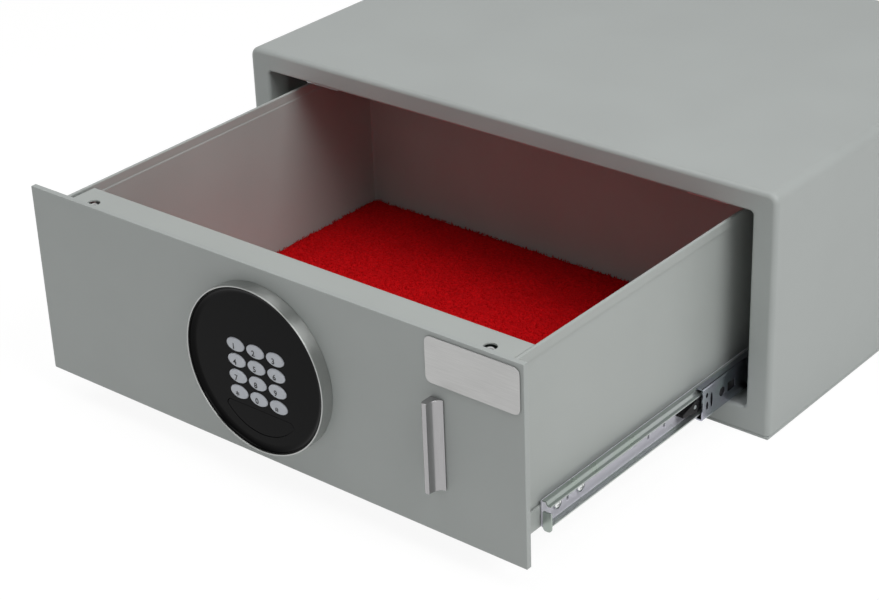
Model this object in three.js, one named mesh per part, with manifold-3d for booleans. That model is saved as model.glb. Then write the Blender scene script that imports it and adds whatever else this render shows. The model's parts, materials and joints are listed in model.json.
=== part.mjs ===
// Under-desk drawer safe: a folded steel casing, a drawer on ball-bearing runners, and an electronic lock.
// Millimetres, +Z up, +Y towards the back. The origin is the middle of the casing's underside.
import * as THREE from 'three';
import { mergeVertices } from 'three/addons/utils/BufferGeometryUtils.js';
import Module from 'manifold-3d';

const wasm = await Module();
wasm.setup();

// Clearances
const seatGap = 0.3;          // between pieces that sit on each other
const runGap = 0.3;           // between pieces that slide, turn or roll past each other

// Casing
const casingWidth = 484;
const casingHeight = 190;
const casingDepth = 364;
const casingSheet = 2;
const baseSheet = 2;
const longEdgeRadius = 8;     // outside bend along both top edges
const frontEdgeRadius = 4;    // outside bend round the front face
const frameSide = 19;         // width of the front frame beside the opening
const frameTop = 17;          // and above it
const openingSill = 20.5;     // height of the opening's lower edge above the underside
const openingCorner = 3;
const returnDepth = 20.5;     // the opening's edge is folded back this far
const fixingHoleRadius = 4.5;
const fixingInset = 70;       // fixing holes stand in this far from the casing's edges

// Drawer front
const panelSideGap = 3;
const panelSillGap = 1;       // panel's lower edge above the opening's lower edge
const panelTopGap = 3.5;
const panelThickness = 4.5;
const pulledOut = 250;        // how far the drawer stands open

// Drawer body, heights measured from the panel's lower edge
const drawerSideRoom = 23;    // from the opening's edge in to the drawer's inner face
const drawerBackRoom = 18.7;  // behind the closed drawer, to the casing's back
const drawerSheet = 1.2;
const rimDrop = 9;            // drawer's rim below the panel's upper edge
const hemHeight = 7;
const hemThickness = 1.25;
const panUnderside = 4.5;
const panFlangeTop = 22;
const matThickness = 6;
const matSideGap = 0.6;

// Lock compartment behind the panel
const channelDrop = 1;        // channel's top below the rim
const channelDepth = 34.7;
const channelSideGap = 3;
const channelLip = 10;
const channelFoot = 11;

// Runners: u is measured out from the drawer pan's side, v from the runner's middle height
const railSheet = 1.1;
const railMiddle = 16.3;      // runner's middle height above the panel's lower edge
const railInset = 37;         // drawer rail's front end behind the panel's front face
const railSetback = 38;       // cabinet rail's front end behind the casing's front
const railBackRoom = 24;      // cabinet rail's back end to the inside of the casing's back
const middleShown = 40.5;     // middle rail stands this far out of the casing
const middleMore = 52;        // and can come out this much further
const drawerRailHalf = 10.55;
const drawerRailDepth = 8.2;
const grooveDepth = 2.5;
const grooveClear = 1.1;      // groove past the ball towards the web
const grooveSlope = 1.1;
const middleRailStart = 4.95; // u at which the middle rail's flanges start
const middleRailLip = 1.2;
const cabinetRailStart = 3.2;
const cabinetRailLip = 2.9;
const innerBallLine = 6.9;    // u of the balls between drawer rail and middle rail
const outerBallLine = 6;      // u of the balls between middle rail and cabinet rail
const ballRadius = 1.5;
const ballsPerRow = 3;
const cageSheet = 0.5;
const cageReach = 1.5;        // cage's flange past the middle of the balls
const cageOffset = 0.35;      // cage's flange outside the middle of the balls
const cageEndRoom = 2.5;      // cage to its rail's front end at the end of its run
const innerCageLength = 110;
const outerCageLength = 120;
const tabDrop = 11.75;        // stop tab at the drawer rail's front, below the runner's middle height
const tabRise = 2.95;
const tabStart = 2.3;         // u at which the tab starts
const tabMore = 1;            // tab past the rail's flanges
const railScrewPlaces = [52.5, 77.5];
const railSlotPlaces = [64.6, 157, 176];
const railSlotHalf = [1.1, 4];
const middleHolePlace = 24.5;
const middleHoleRadius = 3;
const middleWindows = [[36, 43], [120, 150], [220, 250]];
const middleWindowHalf = 3.5;
const cabinetHolePlaces = [20, 148, 276];
const cabinetHoleHalf = [5, 2.3];
const bracketSheet = 1.6;
const bracketHalf = 22;
const bracketFlange = 9;
const bracketMore = 1.1;      // bracket past each end of the cabinet rail

// Screws of the drawer rails
const railScrewRadius = 1.9;
const railScrewLength = 3.1;
const railScrewHeadRadius = 3.7;
const railScrewHeadHeight = 2.1;

// Release levers
const leverAhead = 4.5;       // lever's pivot in front of the middle rail's front end
const leverLength = 21;
const leverHalf = 3.6;
const leverTaper = 4;
const leverBoss = 5;
const leverInset = 0.6;       // lever's outer face inside the rail's edge
const leverPivotRadius = 1.8;

// Lock dial
const ringRadius = 62;
const ringWall = 1;
const ringDepth = 10.2;
const ringRound = 0.5;
const faceDepth = 6.6;        // how far the flat of the face stands in front of the panel
const faceRise = 3;           // from the flat out to the face's rim
const faceSlope = 5;          // width of the rising rim
const faceThickness = 2.2;
const keyWidth = 16;
const keyHeight = 10;
const keyPitchX = 18.1;
const keyPitchZ = 12.2;
const keyTopRow = 13.6;       // upper row of keys above the dial's centre
const keyProud = 1;
const keyTravel = 1;
const keyBody = 3.6;
const keyRound = 0.7;
const membraneThickness = 1;
const boardThickness = 1;
const padMargin = 2;          // membrane past the outer keys
const coverHalfWidth = 31;
const coverDropTop = 31.5;    // cover's straight upper edge below the dial's centre
const coverDrop = 19;
const coverCorner = 4;
const coverThickness = 1.4;
const coverSunk = 0.2;
const cableHoleRise = 8;      // cable hole in the panel above the dial's centre
const cableHoleRadius = 10;

// Battery holder and cells
const cellRadius = 5.25;
const cellLength = 44.5;
const cellCount = 3;
const cellCapRadius = 2;
const cellCapHeight = 1;
const holderWall = 0.8;
const holderDrop = 1;         // holder's roof below the cover's upper edge

// Bolt work
const boltRadius = 4;
const boltInset = 18.5;       // bolt's middle from the lock channel's end
const boltBehind = 20.5;      // and behind the panel's front face
const boltSunk = 0.8;         // tip below the channel's top when drawn in
const boltThrow = 12;
const boltChamfer = 1;
const boltStemRadius = 2.5;
const boltStemLength = 3.1;
const boltBarDrop = 26;       // bar below the lock channel's top
const boltBarSheet = 2;
const boltBarEnd = 7.5;       // bar past the bolt's middle
const boltBarDepth = 14;
const boltBarFlange = 10;
const nutHeight = 8;
const nutHalf = 7;
const screwRadius = 3;
const screwShown = 18;        // from the motor's top up to the bar
const screwEnd = 2;           // screw past the nut at the bolts' highest place
const motorRadius = 11;
const motorLength = 34;
const motorNeckRadius = 4;
const motorNeckHeight = 2;
const motorPlate = 1.5;
const motorPlateMargin = 4;
const keeperSheet = 2;
const keeperHalf = 17;
const keeperTab = 9;
const keeperDepth = 14;
const keeperClear = 6;        // keeper's underside above the lock channel's top
const keeperHoleMore = 1;     // hole's radius past the bolt's

// Handle and label plate
const handleInset = 63;       // handle's right side from the panel's right edge
const handleWidth = 10.5;
const handleLip = 4.7;
const handleReach = 11;
const handleLabelGap = 8.5;   // handle's upper end below the label plate
const handleHeight = 66.5;
const handleFoot = 1.2;
const handleRound = 1;
const handleHollowLip = 0.4;
const handleScrewInset = 2.6; // screws' middle from the handle's left side
const handleScrewEnd = 14;    // and from its ends
const handleScrewRadius = 1.5;
const handleScrewBite = 5;
const handleScrewHeadRadius = 3;
const handleScrewHeadHeight = 1.8;
const labelWidth = 75;
const labelHeight = 34.5;
const labelCorner = 5;
const labelThickness = 0.8;
const labelInsetSide = 2.5;
const labelInsetTop = 3;

// Worked-out sizes and places
const openingWidth = casingWidth - 2 * frameSide;
const openingTop = casingHeight - frameTop;
const panelWidth = openingWidth - 2 * panelSideGap;
const panelBottom = openingSill + panelSillGap;
const panelHeight = openingTop - panelTopGap - panelBottom;
const frontPlane = -casingDepth / 2;
const panelFront = frontPlane - pulledOut;
const dialCentre = panelHeight / 2;
const drawerInnerHalf = openingWidth / 2 - drawerSideRoom;
const trayOuterHalf = drawerInnerHalf + drawerSheet;
const panOuterHalf = trayOuterHalf + seatGap + drawerSheet;
const trayUnderside = panUnderside + drawerSheet + seatGap;
const matUnderside = trayUnderside + drawerSheet + seatGap;
const rimHeight = panelHeight - rimDrop;
const bodyFront = panelThickness + seatGap;
const drawerBack = casingDepth - casingSheet - drawerBackRoom;
const channelTop = rimHeight - channelDrop;
const channelBack = bodyFront + channelDepth;
const channelHalf = drawerInnerHalf - channelSideGap;
const railFace = panOuterHalf + seatGap;
const railLength = casingDepth - casingSheet - railSetback - railBackRoom;
const middleWebIn = drawerRailDepth + cageSheet + 2 * runGap;
const middleWebOut = middleWebIn + railSheet;
const cabinetWebIn = middleWebOut + cageSheet + 2 * runGap;
const cabinetWebOut = cabinetWebIn + railSheet;
const innerBallV = drawerRailHalf - grooveDepth + runGap + ballRadius;
const middleRailHalf = innerBallV + ballRadius + runGap + railSheet;
const outerBallV = middleRailHalf + runGap + ballRadius;
const cabinetRailHalf = outerBallV + ballRadius + runGap + railSheet;
const runnerHeight = panelBottom + railMiddle;
const middleFront = frontPlane - middleShown;
const cabinetFront = frontPlane + railSetback;
const boltX = channelHalf - boltInset;
const boltBarHeight = channelTop - boltBarDrop;

// Solids

function solidOf(geometry) {
  const bare = geometry.index ? geometry.toNonIndexed() : geometry.clone();
  for (const name of ['normal', 'uv']) {
    bare.deleteAttribute(name);
  }
  const merged = mergeVertices(bare, 1e-4);
  return new wasm.Manifold(new wasm.Mesh({
    numProp: 3,
    vertProperties: new Float32Array(merged.attributes.position.array),
    triVerts: new Uint32Array(merged.index.array),
  }));
}

function geometryOf(solid) {
  const mesh = solid.getMesh();
  const geometry = new THREE.BufferGeometry();
  geometry.setAttribute('position', new THREE.BufferAttribute(new Float32Array(mesh.vertProperties), 3));
  geometry.setIndex(new THREE.BufferAttribute(new Uint32Array(mesh.triVerts), 1));
  return geometry;
}

function cut(geometry, ...tools) {
  return geometryOf(tools.reduce((solid, tool) => solid.subtract(solidOf(tool)), solidOf(geometry)));
}

function join(geometry, ...others) {
  return geometryOf(others.reduce((solid, other) => solid.add(solidOf(other)), solidOf(geometry)));
}

// A box from its two opposite corners.
function block(x0, x1, y0, y1, z0, z1) {
  const box = new THREE.BoxGeometry(x1 - x0, y1 - y0, z1 - z0);
  return box.translate((x0 + x1) / 2, (y0 + y1) / 2, (z0 + z1) / 2);
}

// Extrusions: a shape drawn in x and z runs along y, one drawn in y and z along x, one in x and y along z.
function alongY(shape, y0, y1, options = {}) {
  const body = new THREE.ExtrudeGeometry(shape, { depth: y1 - y0, bevelEnabled: false, ...options });
  return body.rotateX(Math.PI / 2).translate(0, y1, 0);
}

function alongX(shape, x0, x1) {
  const body = new THREE.ExtrudeGeometry(shape, { depth: x1 - x0, bevelEnabled: false });
  const turn = new THREE.Matrix4().makeBasis(
    new THREE.Vector3(0, 1, 0), new THREE.Vector3(0, 0, 1), new THREE.Vector3(1, 0, 0));
  return body.applyMatrix4(turn).translate(x0, 0, 0);
}

function alongZ(shape, z0, z1) {
  return new THREE.ExtrudeGeometry(shape, { depth: z1 - z0, bevelEnabled: false }).translate(0, 0, z0);
}

// Round pieces: a profile of [radius, distance] pairs, turned about y, z or x.
function turned(profile, segments = 24) {
  return new THREE.LatheGeometry(profile.map(([r, h]) => new THREE.Vector2(r, h)), segments);
}

const turnedZ = (profile, segments) => turned(profile, segments).rotateX(Math.PI / 2);
const turnedX = (profile, segments) => turned(profile, segments).rotateZ(-Math.PI / 2);
const rod = (radius, h0, h1) => [[0, h0], [radius, h0], [radius, h1], [0, h1]];

// The outline of sheet bent along a path: half the thickness to each side, mitred at the bends.
function bentSheet(path, thickness) {
  const points = path.map(([a, b]) => new THREE.Vector2(a, b));
  const sides = [[], []];
  points.forEach((point, i) => {
    const before = i > 0 ? point.clone().sub(points[i - 1]).normalize() : null;
    const after = i < points.length - 1 ? points[i + 1].clone().sub(point).normalize() : null;
    const n0 = before ? new THREE.Vector2(-before.y, before.x) : new THREE.Vector2(-after.y, after.x);
    const n1 = after ? new THREE.Vector2(-after.y, after.x) : n0;
    const mitre = n0.clone().add(n1).normalize();
    const reach = thickness / 2 / mitre.dot(n0);
    sides[0].push(point.clone().addScaledVector(mitre, reach));
    sides[1].push(point.clone().addScaledVector(mitre, -reach));
  });
  return new THREE.Shape([...sides[0], ...sides[1].reverse()]);
}

// The upper half of a section and its mirror image below.
const bothHalves = (upper) => [...upper.slice().reverse(), ...upper.map(([u, v]) => [u, -v])];

function polygon(points) {
  return new THREE.Shape(points.map(([a, b]) => new THREE.Vector2(a, b)));
}

function arcPoints(cx, cy, rx, ry, from, to, steps) {
  return Array.from({ length: steps + 1 }, (_, i) => {
    const angle = from + ((to - from) * i) / steps;
    return [cx + rx * Math.cos(angle), cy + ry * Math.sin(angle)];
  });
}

// A rectangle from its edges, with a radius at each corner: low left, low right, high right, high left.
function roundedBox(a0, a1, b0, b1, radii, steps = 4) {
  const corners = [[a0, b0, 1, 1, Math.PI], [a1, b0, -1, 1, 1.5 * Math.PI],
    [a1, b1, -1, -1, 0], [a0, b1, 1, -1, 0.5 * Math.PI]];
  return polygon(corners.flatMap(([a, b, sa, sb, from], i) => {
    const r = radii[i];
    return r > 0 ? arcPoints(a + sa * r, b + sb * r, r, r, from, from + Math.PI / 2, steps) : [[a, b]];
  }));
}

const allCorners = (radius) => [radius, radius, radius, radius];

function ellipse(cx, cz, halfWidth, halfHeight, steps = 24) {
  return polygon(arcPoints(cx, cz, halfWidth, halfHeight, 0, 2 * Math.PI, steps).slice(0, -1));
}

// The other hand of a piece: reflected in x, with each triangle turned round again.
function mirrored(geometry) {
  const bare = geometry.index ? geometry.toNonIndexed() : geometry.clone();
  const position = bare.attributes.position;
  const flipped = new Float32Array(position.count * 3);
  for (let i = 0; i < position.count; i += 3) {
    [i, i + 2, i + 1].forEach((from, k) => {
      flipped[(i + k) * 3] = -position.getX(from);
      flipped[(i + k) * 3 + 1] = position.getY(from);
      flipped[(i + k) * 3 + 2] = position.getZ(from);
    });
  }
  const other = new THREE.BufferGeometry();
  other.setAttribute('position', new THREE.BufferAttribute(flipped, 3));
  return other;
}

// Finishes
const finish = (color, roughness, metalness) => ({ color, roughness, metalness });
const greyPaint = finish(0x9ea3a2, 0.55, 0.0);
const panelPaint = finish(0x8a8e8e, 0.55, 0.0);
const zincSteel = finish(0xb4b8b6, 0.35, 0.9);
const satinChrome = finish(0xc9cbcb, 0.2, 1.0);
const blackGloss = finish(0x1b1b1d, 0.15, 0.0);
const blackPlastic = finish(0x161616, 0.6, 0.0);
const greyKey = finish(0xb9bdc4, 0.5, 0.0);
const satinAluminium = finish(0xb8b5b1, 0.35, 0.9);
const redCarpet = finish(0xa30b10, 0.95, 0.0);
const greenBoard = finish(0x1f5a3a, 0.6, 0.0);
const greyRubber = finish(0x5a5c5e, 0.9, 0.0);
const cellWrap = finish(0x2c4a6b, 0.4, 0.2);
const brightSteel = finish(0xc2c4c5, 0.3, 1.0);

const safe = new THREE.Group();

function groupAt(x, y, z) {
  const group = new THREE.Group();
  group.position.set(x, y, z);
  safe.add(group);
  return group;
}

const casing = groupAt(0, 0, 0);
const drawer = groupAt(0, panelFront, panelBottom);
const middle = groupAt(0, middleFront, runnerHeight);
const cabinet = groupAt(0, cabinetFront, runnerHeight);
const dial = new THREE.Group();
dial.position.set(0, 0, dialCentre);
drawer.add(dial);

function place(group, name, geometry, look, x = 0, y = 0, z = 0) {
  const mesh = new THREE.Mesh(geometry, new THREE.MeshStandardMaterial(look));
  mesh.name = name;
  mesh.position.set(x, y, z);
  group.add(mesh);
}

function placePair(group, name, geometry, look) {
  place(group, `${name}_right`, geometry, look);
  place(group, `${name}_left`, mirrored(geometry), look);
}

// Casing

const halfWidth = casingWidth / 2;
const shellFloor = baseSheet + seatGap;
const shellBack = casingDepth / 2 - casingSheet - seatGap;

function casingShell() {
  const outer = roundedBox(-halfWidth + frontEdgeRadius, halfWidth - frontEdgeRadius,
    shellFloor, casingHeight - frontEdgeRadius,
    [0, 0, longEdgeRadius - frontEdgeRadius, longEdgeRadius - frontEdgeRadius]);
  const body = alongY(outer, frontPlane + frontEdgeRadius, shellBack + frontEdgeRadius,
    { bevelEnabled: true, bevelThickness: frontEdgeRadius, bevelSize: frontEdgeRadius, bevelSegments: 3 });
  const inside = roundedBox(-halfWidth + casingSheet, halfWidth - casingSheet, 0, casingHeight - casingSheet,
    [0, 0, longEdgeRadius - casingSheet, longEdgeRadius - casingSheet]);
  const beyond = casingDepth;
  const mouth = (grow) => roundedBox(-openingWidth / 2 - grow, openingWidth / 2 + grow,
    openingSill - grow, openingTop + grow, allCorners(openingCorner + grow), 3);
  const fold = alongY(mouth(casingSheet), frontPlane + casingSheet / 2, frontPlane + returnDepth);
  const hollowShell = cut(body,
    alongY(inside, frontPlane + casingSheet, shellBack + beyond),
    block(-beyond, beyond, shellBack, shellBack + beyond, -1, casingHeight + 1),
    block(-beyond, beyond, -beyond, beyond, -beyond, shellFloor));
  return cut(join(hollowShell, fold), alongY(mouth(0), frontPlane - 1, frontPlane + returnDepth + 1));
}

const holeZ = (x, y, radius, z0, z1) => turnedZ(rod(radius, z0, z1), 16).translate(x, y, 0);
const holeY = (x, z, radius, y0, y1) => turned(rod(radius, y0, y1), 16).translate(x, 0, z);
const holeX = (y, z, radius, x0, x1) => turnedX(rod(radius, x0, x1), 16).translate(0, y, z);

function casingBase() {
  const fixingX = halfWidth - fixingInset;
  const fixingY = casingDepth / 2 - fixingInset;
  const holes = [[-1, -1], [1, -1], [-1, 1], [1, 1]].map(
    ([sx, sy]) => holeZ(sx * fixingX, sy * fixingY, fixingHoleRadius, -1, baseSheet + 1));
  return cut(block(-halfWidth, halfWidth, frontPlane, casingDepth / 2, 0, baseSheet), ...holes);
}

function casingBack() {
  const outline = roundedBox(-halfWidth, halfWidth, shellFloor, casingHeight,
    [0, 0, longEdgeRadius, longEdgeRadius]);
  const y0 = casingDepth / 2 - casingSheet;
  const holes = [-1, 1].map((side) => holeY(side * (halfWidth - fixingInset), casingHeight - fixingInset,
    fixingHoleRadius, y0 - 1, y0 + casingSheet + 1));
  return cut(alongY(outline, y0, y0 + casingSheet), ...holes);
}

place(casing, 'casing_shell', casingShell(), greyPaint);
place(casing, 'casing_base', casingBase(), greyPaint);
place(casing, 'casing_back', casingBack(), greyPaint);

// Bolt keepers hang under the opening's upper fold, one over each bolt.
const keeperUnderside = panelBottom + channelTop + keeperClear;

function boltKeeper() {
  const tabLevel = openingTop - seatGap - keeperSheet / 2;
  const plateLevel = keeperUnderside + keeperSheet / 2;
  const section = bentSheet([
    [boltX - keeperHalf - keeperTab, tabLevel], [boltX - keeperHalf, tabLevel],
    [boltX - keeperHalf, plateLevel], [boltX + keeperHalf, plateLevel],
    [boltX + keeperHalf, tabLevel], [boltX + keeperHalf + keeperTab, tabLevel],
  ], keeperSheet);
  const boltY = frontPlane + boltBehind;
  return cut(alongY(section, boltY - keeperDepth / 2, boltY + keeperDepth / 2),
    holeZ(boltX, boltY, boltRadius + keeperHoleMore, keeperUnderside - 1, plateLevel + keeperSheet));
}

placePair(casing, 'bolt_keeper', boltKeeper(), zincSteel);

// Runner brackets stand between the casing's sides and the cabinet rails.
function runnerBracket() {
  const webX = railFace + cabinetWebOut + seatGap + bracketSheet / 2;
  const wallX = halfWidth - casingSheet - seatGap - bracketSheet / 2;
  const section = bentSheet(bothHalves([
    [webX, bracketHalf], [wallX, bracketHalf], [wallX, bracketHalf + bracketFlange],
  ]), bracketSheet);
  return alongY(section, -bracketMore, railLength + bracketMore);
}

placePair(cabinet, 'runner_bracket', runnerBracket(), zincSteel);

// Runners

// A rail's section, given out from the drawer pan's side, placed on the right-hand side of the safe.
function railBody(upper, thickness, length) {
  const path = bothHalves(upper).map(([u, v]) => [railFace + u, v]);
  return alongY(bentSheet(path, thickness), 0, length);
}

const pivotPlace = middleFront - panelFront - railInset - leverAhead;
const leverOuter = drawerRailDepth - leverInset;

function drawerRail() {
  const t = railSheet / 2;
  const high = drawerRailHalf - t;
  const low = high - grooveDepth;
  const start = innerBallLine - ballRadius - grooveClear;
  const section = [[t, high], [start, high], [start + grooveSlope, low], [drawerRailDepth, low]];
  const body = railBody(section, railSheet, railLength);
  const tab = alongY(roundedBox(railFace + tabStart, railFace + drawerRailDepth + tabMore, -tabDrop, tabRise,
    [2, 3, 0, 0]), -railSheet, 0.2);
  const pin = holeX(pivotPlace, 0, leverPivotRadius, railFace + t, railFace + leverOuter - runGap);
  const web = [railFace - 1, railFace + railSheet + 1];
  const screwHoles = railScrewPlaces.map((y) => holeX(y - railInset, 0, railScrewRadius + runGap, ...web));
  const slots = railSlotPlaces.map((y) => block(...web, y - railInset - railSlotHalf[0],
    y - railInset + railSlotHalf[0], -railSlotHalf[1], railSlotHalf[1]));
  return cut(join(body, tab, pin), ...screwHoles, ...slots);
}

function middleRail() {
  const t = railSheet / 2;
  const high = middleRailHalf - t;
  const body = railBody([[middleWebOut - t, high], [middleRailStart, high],
    [middleRailStart, high - middleRailLip]], railSheet, railLength);
  const web = [railFace + middleWebIn - 1, railFace + middleWebOut + 1];
  const windows = middleWindows.map(
    ([y0, y1]) => block(...web, y0, y1, -middleWindowHalf, middleWindowHalf));
  return cut(body, holeX(middleHolePlace, 0, middleHoleRadius, ...web), ...windows);
}

function cabinetRail() {
  const t = railSheet / 2;
  const high = cabinetRailHalf - t;
  const body = railBody([[cabinetWebOut - t, high], [cabinetRailStart, high],
    [cabinetRailStart, high - cabinetRailLip]], railSheet, railLength);
  const web = [railFace + cabinetWebIn - 1, railFace + cabinetWebOut + 1];
  return cut(body, ...cabinetHolePlaces.map((y) => block(...web, y - cabinetHoleHalf[0],
    y + cabinetHoleHalf[0], -cabinetHoleHalf[1], cabinetHoleHalf[1])));
}

// A ball cage: a thin bent strip that carries a row of balls above and a row below.
function ballCage(webIn, ballU, ballV, length) {
  const webU = webIn + runGap + cageSheet / 2;
  const flangeV = ballV + cageOffset;
  const strip = railBody([[webU, flangeV], [ballU - cageReach, flangeV]], cageSheet, length);
  const balls = [];
  for (let i = 0; i < ballsPerRow; i += 1) {
    for (const side of [-1, 1]) {
      const ball = new THREE.SphereGeometry(ballRadius, 8, 5);
      balls.push(ball.translate(railFace + ballU, (length * (i + 0.5)) / ballsPerRow, side * ballV));
    }
  }
  return join(strip, ...balls);
}

const drawerRailPlace = [0, railInset, railMiddle];
place(drawer, 'drawer_rail_right', drawerRail(), zincSteel, ...drawerRailPlace);
place(drawer, 'drawer_rail_left', mirrored(drawerRail()), zincSteel, ...drawerRailPlace);
placePair(middle, 'middle_rail', middleRail(), zincSteel);
placePair(cabinet, 'cabinet_rail', cabinetRail(), zincSteel);

const innerCage = ballCage(drawerRailDepth, innerBallLine, innerBallV, innerCageLength);
placePair(middle, 'inner_ball_cage', innerCage.translate(0, cageEndRoom, 0), zincSteel);
const outerCage = ballCage(middleWebOut, outerBallLine, outerBallV, outerCageLength);
placePair(cabinet, 'outer_ball_cage', outerCage.translate(0, cageEndRoom + middleMore / 2, 0), zincSteel);

// Screws that hold the drawer rails on: a pan head in the rail's channel and a short shank.
function railScrew() {
  const head = railFace + railSheet + seatGap;
  const tip = head - railScrewLength;
  const top = head + railScrewHeadHeight;
  return turnedX([[0, tip], [railScrewRadius, tip], [railScrewRadius, head], [railScrewHeadRadius, head],
    [railScrewHeadRadius, top - 1], [railScrewHeadRadius - 1, top], [0, top]], 16);
}

railScrewPlaces.forEach((y, i) => {
  place(drawer, `rail_screw_right_${i + 1}`, railScrew(), brightSteel, 0, y, railMiddle);
  place(drawer, `rail_screw_left_${i + 1}`, mirrored(railScrew()), brightSteel, 0, y, railMiddle);
});

// Release levers: a plastic catch in each drawer rail, by the middle rail's front end.
function releaseLever() {
  const outline = polygon([
    [-leverLength + leverTaper, -leverHalf],
    ...arcPoints(0, 0, leverBoss, leverBoss, -0.6 * Math.PI, 0.6 * Math.PI, 8),
    [-leverLength + leverTaper, leverHalf], [-leverLength, leverHalf - 1], [-leverLength, -leverHalf + 1],
  ]);
  return cut(alongX(outline, railFace + railSheet + runGap, railFace + leverOuter),
    holeX(0, 0, leverPivotRadius + runGap, railFace, railFace + drawerRailDepth));
}

const leverPlace = [0, railInset + pivotPlace, railMiddle];
place(drawer, 'release_lever_right', releaseLever(), blackPlastic, ...leverPlace);
place(drawer, 'release_lever_left', mirrored(releaseLever()), blackPlastic, ...leverPlace);

// Drawer body

function drawerTray() {
  const wall = drawerInnerHalf + drawerSheet / 2;
  const floor = trayUnderside + drawerSheet / 2;
  const section = bentSheet([[-wall, rimHeight], [-wall, floor], [wall, floor], [wall, rimHeight]],
    drawerSheet);
  const overlap = 0.1;
  const hem = (side) => block(...[side * (trayOuterHalf - overlap), side * (trayOuterHalf + hemThickness)]
    .sort((a, b) => a - b), bodyFront, drawerBack, rimHeight - hemHeight, rimHeight);
  return join(alongY(section, bodyFront, drawerBack),
    block(-wall, wall, drawerBack - drawerSheet, drawerBack, floor, rimHeight), hem(-1), hem(1));
}

function drawerBase() {
  const side = panOuterHalf - drawerSheet / 2;
  const floor = panUnderside + drawerSheet / 2;
  const pan = alongY(bentSheet([[-side, panFlangeTop], [-side, floor], [side, floor], [side, panFlangeTop]],
    drawerSheet), bodyFront, drawerBack - drawerSheet);
  const holes = railScrewPlaces.map(
    (y) => holeX(y, railMiddle, railScrewRadius + runGap, -railFace, railFace));
  return cut(pan, ...holes);
}

function drawerMat() {
  const half = drawerInnerHalf - matSideGap;
  return block(-half, half, channelBack + matSideGap, drawerBack - drawerSheet - matSideGap,
    matUnderside, matUnderside + matThickness);
}

place(drawer, 'drawer_tray', drawerTray(), greyPaint);
place(drawer, 'drawer_base', drawerBase(), greyPaint);
place(drawer, 'drawer_mat', drawerMat(), redCarpet);

// The lock channel closes the space behind the panel: lip, top with two bolt holes, back wall and foot.
function lockChannel() {
  const t = drawerSheet / 2;
  const top = channelTop - t;
  const foot = matUnderside + t;
  const section = bentSheet([[bodyFront + t, channelTop - channelLip], [bodyFront + t, top],
    [channelBack - t, top], [channelBack - t, foot], [channelBack - channelFoot, foot]], drawerSheet);
  const holes = [-1, 1].map((side) => holeZ(side * boltX, boltBehind, boltRadius + runGap,
    channelTop - drawerSheet - 1, channelTop + 1));
  return cut(alongX(section, -channelHalf, channelHalf), ...holes);
}

place(drawer, 'lock_channel', lockChannel(), greyPaint);

// Front panel: a cable hole and a battery window behind the dial, and two holes for the handle's screws.
const holderTop = dialCentre - coverDropTop - holderDrop;
const cellAxis = holderTop - holderWall - cellRadius - runGap;
const holderHalfHeight = cellRadius + runGap + holderWall;
const holderHalfWidth = cellLength / 2 + runGap + holderWall;
const holderFront = -faceDepth + faceThickness + seatGap;
const holderBack = holderFront + cellCount * (2 * cellRadius + runGap) + runGap + holderWall;
const handleLeft = panelWidth / 2 - handleInset - handleWidth;
const handleScrewX = handleLeft + handleScrewInset;
const labelTop = panelHeight - labelInsetTop;
const labelBottom = labelTop - labelHeight;
const handleBottom = labelBottom - handleLabelGap - handleHeight;
const handleScrewPlaces = [handleBottom + handleScrewEnd, handleBottom + handleHeight - handleScrewEnd];

function frontPanel() {
  const outline = roundedBox(-panelWidth / 2, panelWidth / 2, 0, panelHeight, allCorners(0));
  const window = roundedBox(-holderHalfWidth - seatGap, holderHalfWidth + seatGap,
    cellAxis - holderHalfHeight - seatGap, cellAxis + holderHalfHeight + seatGap, allCorners(0));
  outline.holes.push(window, ellipse(0, dialCentre + cableHoleRise, cableHoleRadius, cableHoleRadius, 20));
  const screwHole = handleScrewRadius + runGap;
  for (const z of handleScrewPlaces) {
    outline.holes.push(ellipse(handleScrewX, z, screwHole, screwHole, 12));
  }
  return alongY(outline, 0, panelThickness);
}

place(drawer, 'front_panel', frontPanel(), panelPaint);

// Lock dial: a bright ring round a dished black face with twelve oval keys and a battery cover.

function lockRing() {
  const inner = ringRadius - ringWall;
  return turned([[inner, -seatGap], [inner, -ringDepth + ringRound], [inner + ringRound, -ringDepth],
    [ringRadius - ringRound, -ringDepth], [ringRadius, -ringDepth + ringRound], [ringRadius, -seatGap],
    [inner, -seatGap]], 72);
}

function coverOutline(shrink) {
  const half = coverHalfWidth - shrink;
  const top = -coverDropTop - shrink;
  const rise = coverDrop - coverCorner;
  const arcRadius = (coverHalfWidth ** 2 + rise ** 2) / (2 * rise);
  const centre = arcRadius - coverDropTop - coverDrop;
  const radius = arcRadius - shrink;
  const reach = Math.asin(half / (arcRadius + coverCorner));
  return polygon([
    ...arcPoints(half - coverCorner, top - coverCorner, coverCorner, coverCorner, 0, Math.PI / 2, 4),
    ...arcPoints(-half + coverCorner, top - coverCorner, coverCorner, coverCorner, Math.PI / 2, Math.PI, 4),
    ...arcPoints(0, centre, radius, radius, -Math.PI / 2 - reach, -Math.PI / 2 + reach, 12),
  ]);
}

const keyPlaces = ['1', '2', '3', '4', '5', '6', '7', '8', '9', 'star', '0', 'hash'].map((label, i) => ({
  label,
  x: ((i % 3) - 1) * keyPitchX,
  z: keyTopRow - Math.floor(i / 3) * keyPitchZ,
}));

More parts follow.
